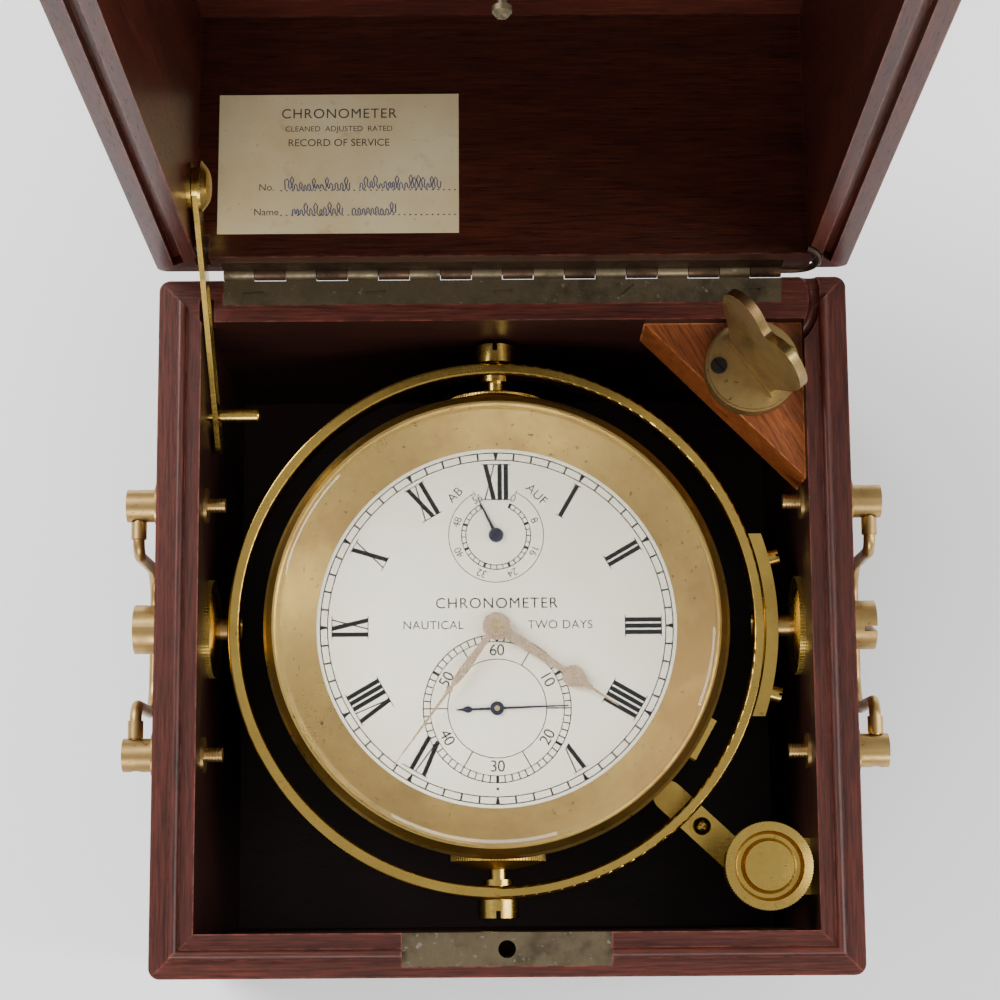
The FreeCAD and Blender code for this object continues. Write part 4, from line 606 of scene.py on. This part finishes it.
def clipped(piece, centre, radius):
    """Cuts away what lies inside a circle on the dial."""
    at = (GIMBAL.x + centre[0] * MM, GIMBAL.y + centre[1] * MM, DIAL_TOP)
    bpy.ops.mesh.primitive_cylinder_add(vertices=96, radius=radius * MM, depth=0.01, location=at)
    tool = bpy.context.object
    modify(piece, "BOOLEAN", operation="DIFFERENCE", object=tool, solver="EXACT")
    bpy.data.objects.remove(tool)
    return piece


SECONDS = (0, -22.5)
RESERVE = (0, 25.5)
HOUR_REACH = 35.3
HOUR_HIGH = 10.2
SECONDS_CLEAR = 21.6
MINUTE_TRACK = (46.6, 48.6)
SECONDS_TRACK = (18.4, 20.3)
SECONDS_FIGURES = 15.9


def make_numerals():
    """Twelve hour marks, radial, without the sixth; two are cut by the seconds dial."""
    marks = ("XII", "I", "II", "III", "IIII", "V", None, "VII", "VIII", "IX", "X", "XI")
    parts = []
    for hour, letters in enumerate(marks):
        if letters is None:
            continue
        strokes = [flat_shape(outline) for outline in roman_strokes(letters, HOUR_HIGH)]
        mark = settle(joined(f"hour_{hour}", strokes), on_dial(hour * 30, HOUR_REACH))
        if hour in (5, 7):
            clipped(mark, SECONDS, SECONDS_CLEAR)
        parts.append(mark)
    return dress(joined("dial_hour_marks", parts), DIAL_INK, "bowl")


def ring_of(inner, outer, centre, vertices=180):
    """Flat printed circle."""
    bpy.ops.mesh.primitive_circle_add(vertices=vertices, radius=outer * MM, fill_type="NGON")
    circle = bpy.context.object
    bpy.ops.object.mode_set(mode="EDIT")
    bpy.ops.mesh.select_all(action="SELECT")
    bpy.ops.mesh.inset(thickness=(outer - inner) * MM * math.cos(math.pi / vertices), depth=0)
    bpy.ops.mesh.delete(type="FACE")
    bpy.ops.object.mode_set(mode="OBJECT")
    modify(circle, "SOLIDIFY", thickness=INK_THICK, offset=0)
    return settle(circle, on_dial(0, 0, centre))


def bar(wide, long, tip=None):
    """Straight bar that points outwards; tip is its width at the outer end."""
    half, end = wide / 2, (wide if tip is None else tip) / 2
    return flat_shape([(-half, 0), (half, 0), (end, long), (-end, long)])


def rays(count, inner, outer, wide, centre, start=0.0, skip=(), tip=None):
    """Evenly spaced radial bars."""
    parts = []
    for index in range(count):
        if index in skip:
            continue
        ray = bar(wide, outer - inner, tip)
        parts.append(settle(ray, on_dial(start + index * 360 / count, inner, centre)))
    return joined("bars", parts)


def arc_of(inner, outer, centre, start, end):
    """Flat printed part of a circle, between two clock angles."""
    steps = 60
    turns = [math.radians(start + (end - start) * step / steps) for step in range(steps + 1)]
    edge = [(outer * math.sin(turn), outer * math.cos(turn)) for turn in turns]
    edge += [(inner * math.sin(turn), inner * math.cos(turn)) for turn in reversed(turns)]
    return settle(flat_shape(edge), on_dial(0, 0, centre))


UP_DOWN_START = 25
UP_DOWN_STEP = 44
UP_DOWN_MARKS = 8


def make_tracks():
    """Minute track, seconds dial and up-and-down dial."""
    fives = [index for index in range(60) if index % 5 == 0]
    scale_end = UP_DOWN_START + UP_DOWN_STEP * (UP_DOWN_MARKS - 1)
    parts = [
        ring_of(48.45, 48.78, (0, 0)),
        ring_of(46.45, 46.75, (0, 0)),
        rays(60, *MINUTE_TRACK, 0.5, (0, 0), skip=fives),
        rays(12, *MINUTE_TRACK, 0.4, (0, 0), tip=1.35),
        ring_of(20.12, 20.42, SECONDS),
        ring_of(18.25, 18.5, SECONDS),
        ring_of(13.4, 13.66, SECONDS),
        rays(60, *SECONDS_TRACK, 0.36, SECONDS, skip=fives),
        rays(6, *SECONDS_TRACK, 0.8, SECONDS),
        rays(6, 13.6, SECONDS_TRACK[1], 0.34, SECONDS, start=30),
        arc_of(13.05, 13.28, RESERVE, UP_DOWN_START, scale_end),
        arc_of(9.45, 9.72, RESERVE, UP_DOWN_START, scale_end),
        arc_of(8.26, 8.52, RESERVE, UP_DOWN_START, scale_end),
        ring_of(0.02, 0.4, (0, SECONDS[1] - 21.9), 24),
    ]
    for mark in range(UP_DOWN_MARKS):
        turn = UP_DOWN_START + UP_DOWN_STEP * mark
        parts.append(settle(bar(0.72, 1.4), on_dial(turn, 8.3, RESERVE)))
        for part in range(1, 4 if mark < UP_DOWN_MARKS - 1 else 1):
            quarter = turn + part * UP_DOWN_STEP / 4
            parts.append(settle(bar(0.3, 1.2), on_dial(quarter, 8.4, RESERVE)))
    for turn in (UP_DOWN_START, scale_end):
        parts.append(settle(bar(0.2, 1.6), on_dial(turn, 12.4, RESERVE)))
    return dress(joined("dial_tracks", parts), DIAL_INK, "bowl")


def lettering(text, high, wide=1.0):
    """Flat text as a mesh, centred, with capitals of the given height."""
    curve = bpy.data.curves.new("letters", "FONT")
    curve.body = text
    curve.align_x = "CENTER"
    curve.align_y = "CENTER"
    curve.size = high * MM / 0.69
    curve.space_character = wide
    curve.extrude = INK_THICK / 2
    piece = bpy.data.objects.new("letters", curve)
    bpy.context.scene.collection.objects.link(piece)
    only(piece)
    bpy.ops.object.convert(target="MESH")
    return bpy.context.object


def make_figures():
    """Small figures of the two inner dials, and the generic words across the middle."""
    parts = []
    for index, text in enumerate(("60", "10", "20", "30", "40", "50")):
        upper = index in (0, 1, 5)
        upright = index * 60 if upper else index * 60 + 180
        reach = SECONDS_FIGURES if upper else -SECONDS_FIGURES
        parts.append(settle(lettering(text, 3.1, 0.92), on_dial(upright, reach, SECONDS)))
    for mark in range(UP_DOWN_MARKS):
        turn = UP_DOWN_START + UP_DOWN_STEP * mark
        parts.append(settle(lettering(str(mark * 8), 2.05, 0.95), on_dial(turn, 11.3, RESERVE)))
    for turn, text in ((-45, "AB"), (45, "AUF")):
        parts.append(settle(lettering(text, 2.5, 1.05), on_dial(turn, 16, RESERVE)))
    for x, y, high, wide, text in (
        (0, 6.4, 2.9, 1.12, "CHRONOMETER"),
        (-17.5, 0.4, 2.3, 1.05, "NAUTICAL"),
        (17.5, 0.4, 2.3, 1.05, "TWO DAYS"),
    ):
        parts.append(settle(lettering(text, high, wide), on_dial(0, y, (x, 0))))
    return parts


make_numerals()
make_tracks()
dress(joined("dial_figures", make_figures()), DIAL_INK, "bowl")


# --- Label inside the lid --------------------------------------------------------------------

LABEL_LEFT, LABEL_LOW, LABEL_LONG, LABEL_FACE = -76, 6.5, 64.5, 81.3


def on_label(x, up):
    """Place on the label, from its lower left corner in millimetres, text along X."""
    hinge = Vector(JOINTS["lid_hinge"]["pos_m"])
    opened = Matrix.Translation(hinge) @ Matrix.Rotation(-LID_TURN, 4, "X") @ Matrix.Translation(-hinge)
    face = Matrix.Translation(((LABEL_LEFT + x) * MM, LABEL_FACE * MM, RIM_TOP + (LABEL_LOW + up) * MM))
    return opened @ face @ Matrix.Rotation(math.radians(90), 4, "X")


def scribble(length, high, seed):
    """Illegible pen writing as a thin wavy line."""
    chance = random.Random(seed)
    points = []
    x = 0.0
    while x < length:
        points.append((x, chance.uniform(-0.1, 0.1) * high))
        points.append((x + 0.5, chance.choice((0.5, 0.6, 1.0)) * high * chance.uniform(0.8, 1.1)))
        x += chance.uniform(0.9, 1.5)
    curve = bpy.data.curves.new("pen", "CURVE")
    curve.dimensions = "3D"
    curve.bevel_depth = 0.00016
    curve.bevel_resolution = 0
    curve.resolution_u = 3
    line = curve.splines.new("BEZIER")
    line.bezier_points.add(len(points) - 1)
    for knot, (px, py) in zip(line.bezier_points, points):
        knot.co = (px * MM, py * MM, 0)
        knot.handle_left_type = "AUTO"
        knot.handle_right_type = "AUTO"
    piece = bpy.data.objects.new("pen", curve)
    bpy.context.scene.collection.objects.link(piece)
    only(piece)
    bpy.ops.object.convert(target="MESH")
    return bpy.context.object


def make_label_print():
    """Generic printed form on the label, filled in with a pen."""
    middle = LABEL_LONG / 2
    printed = []
    for up, high, wide, text in (
        (33.9, 2.7, 1.1, "CHRONOMETER"),
        (29.6, 1.5, 1.0, "CLEANED  ADJUSTED  RATED"),
        (25.6, 2.0, 1.0, "RECORD OF SERVICE"),
    ):
        printed.append(settle(lettering(text, high, wide), on_label(middle, up)))
    for up, text in ((13.0, "No."), (6.0, "Name")):
        printed.append(settle(lettering(text, 1.9), on_label(13, up)))
        for dot in range(32):
            point = flat_shape(serif(0, 0, 0.5, 0.3))
            printed.append(settle(point, on_label(17 + dot * 1.5, up - 0.9)))
    dress(joined("label_print", printed), LABEL_INK, "lid")
    written = []
    for seed, (x, up, length) in enumerate(((18, 12.6, 17), (38, 12.8, 22), (20, 5.6, 13), (36, 5.6, 12))):
        written.append(settle(scribble(length, 3.6, seed + 5), on_label(x, up - 0.4)))
    dress(joined("label_writing", written), PEN_INK, "lid")


make_label_print()


# --- Stage, lamps and camera -----------------------------------------------------------------


def make_stage():
    bpy.ops.mesh.primitive_plane_add(size=8, location=(0, 0, -0.0005))
    floor = named("studio_floor")
    material, tree, shader, vector = new_material("studio_paper")
    shade = ramp(tree, noise(tree, vector, 3, 2), [(0.3, 0.96), (0.7, 0.98)])
    tree.links.new(shade, shader.inputs["Base Color"])
    shader.inputs["Roughness"].default_value = 0.9
    floor.data.materials.append(material)
    world = bpy.data.worlds.new("studio")
    bpy.context.scene.world = world
    world.use_nodes = True
    world.node_tree.nodes["Background"].inputs["Color"].default_value = (1, 1, 1, 1)
    world.node_tree.nodes["Background"].inputs["Strength"].default_value = 0.62


def lamp(name, energy, size, at, aim=(0, 0, 0.1)):
    data = bpy.data.lights.new(name, "AREA")
    data.energy = energy
    data.shape = "RECTANGLE"
    data.size, data.size_y = size
    holder = bpy.data.objects.new(name, data)
    bpy.context.scene.collection.objects.link(holder)
    holder.location = at
    holder.rotation_euler = (Vector(aim) - Vector(at)).to_track_quat("-Z", "Y").to_euler()


LENS = 86.0
CAMERA_AT = (-0.00105, -0.0720, 0.7498)
CAMERA_TILT = 9.394
CAMERA_ROLL = -0.394
LAMPS = (
    ("back_left_softbox", 24, (0.8, 0.8), (-0.80, 0.60, 0.95)),
    ("front_softbox", 13, (1.0, 0.5), (-0.15, -1.10, 0.85)),
    ("right_strip", 12, (0.4, 1.2), (1.0, -0.1, 0.8)),
)


def make_camera():
    data = bpy.data.cameras.new("camera")
    data.lens = LENS
    data.sensor_width = 36
    data.clip_start = 0.01
    holder = bpy.data.objects.new("camera", data)
    bpy.context.scene.collection.objects.link(holder)
    tilt = Matrix.Rotation(math.radians(CAMERA_TILT), 4, "X")
    roll = Matrix.Rotation(math.radians(CAMERA_ROLL), 4, "Z")
    holder.matrix_world = Matrix.Translation(CAMERA_AT) @ tilt @ roll
    bpy.context.scene.camera = holder


make_stage()
for settings in LAMPS:
    lamp(*settings)
make_camera()
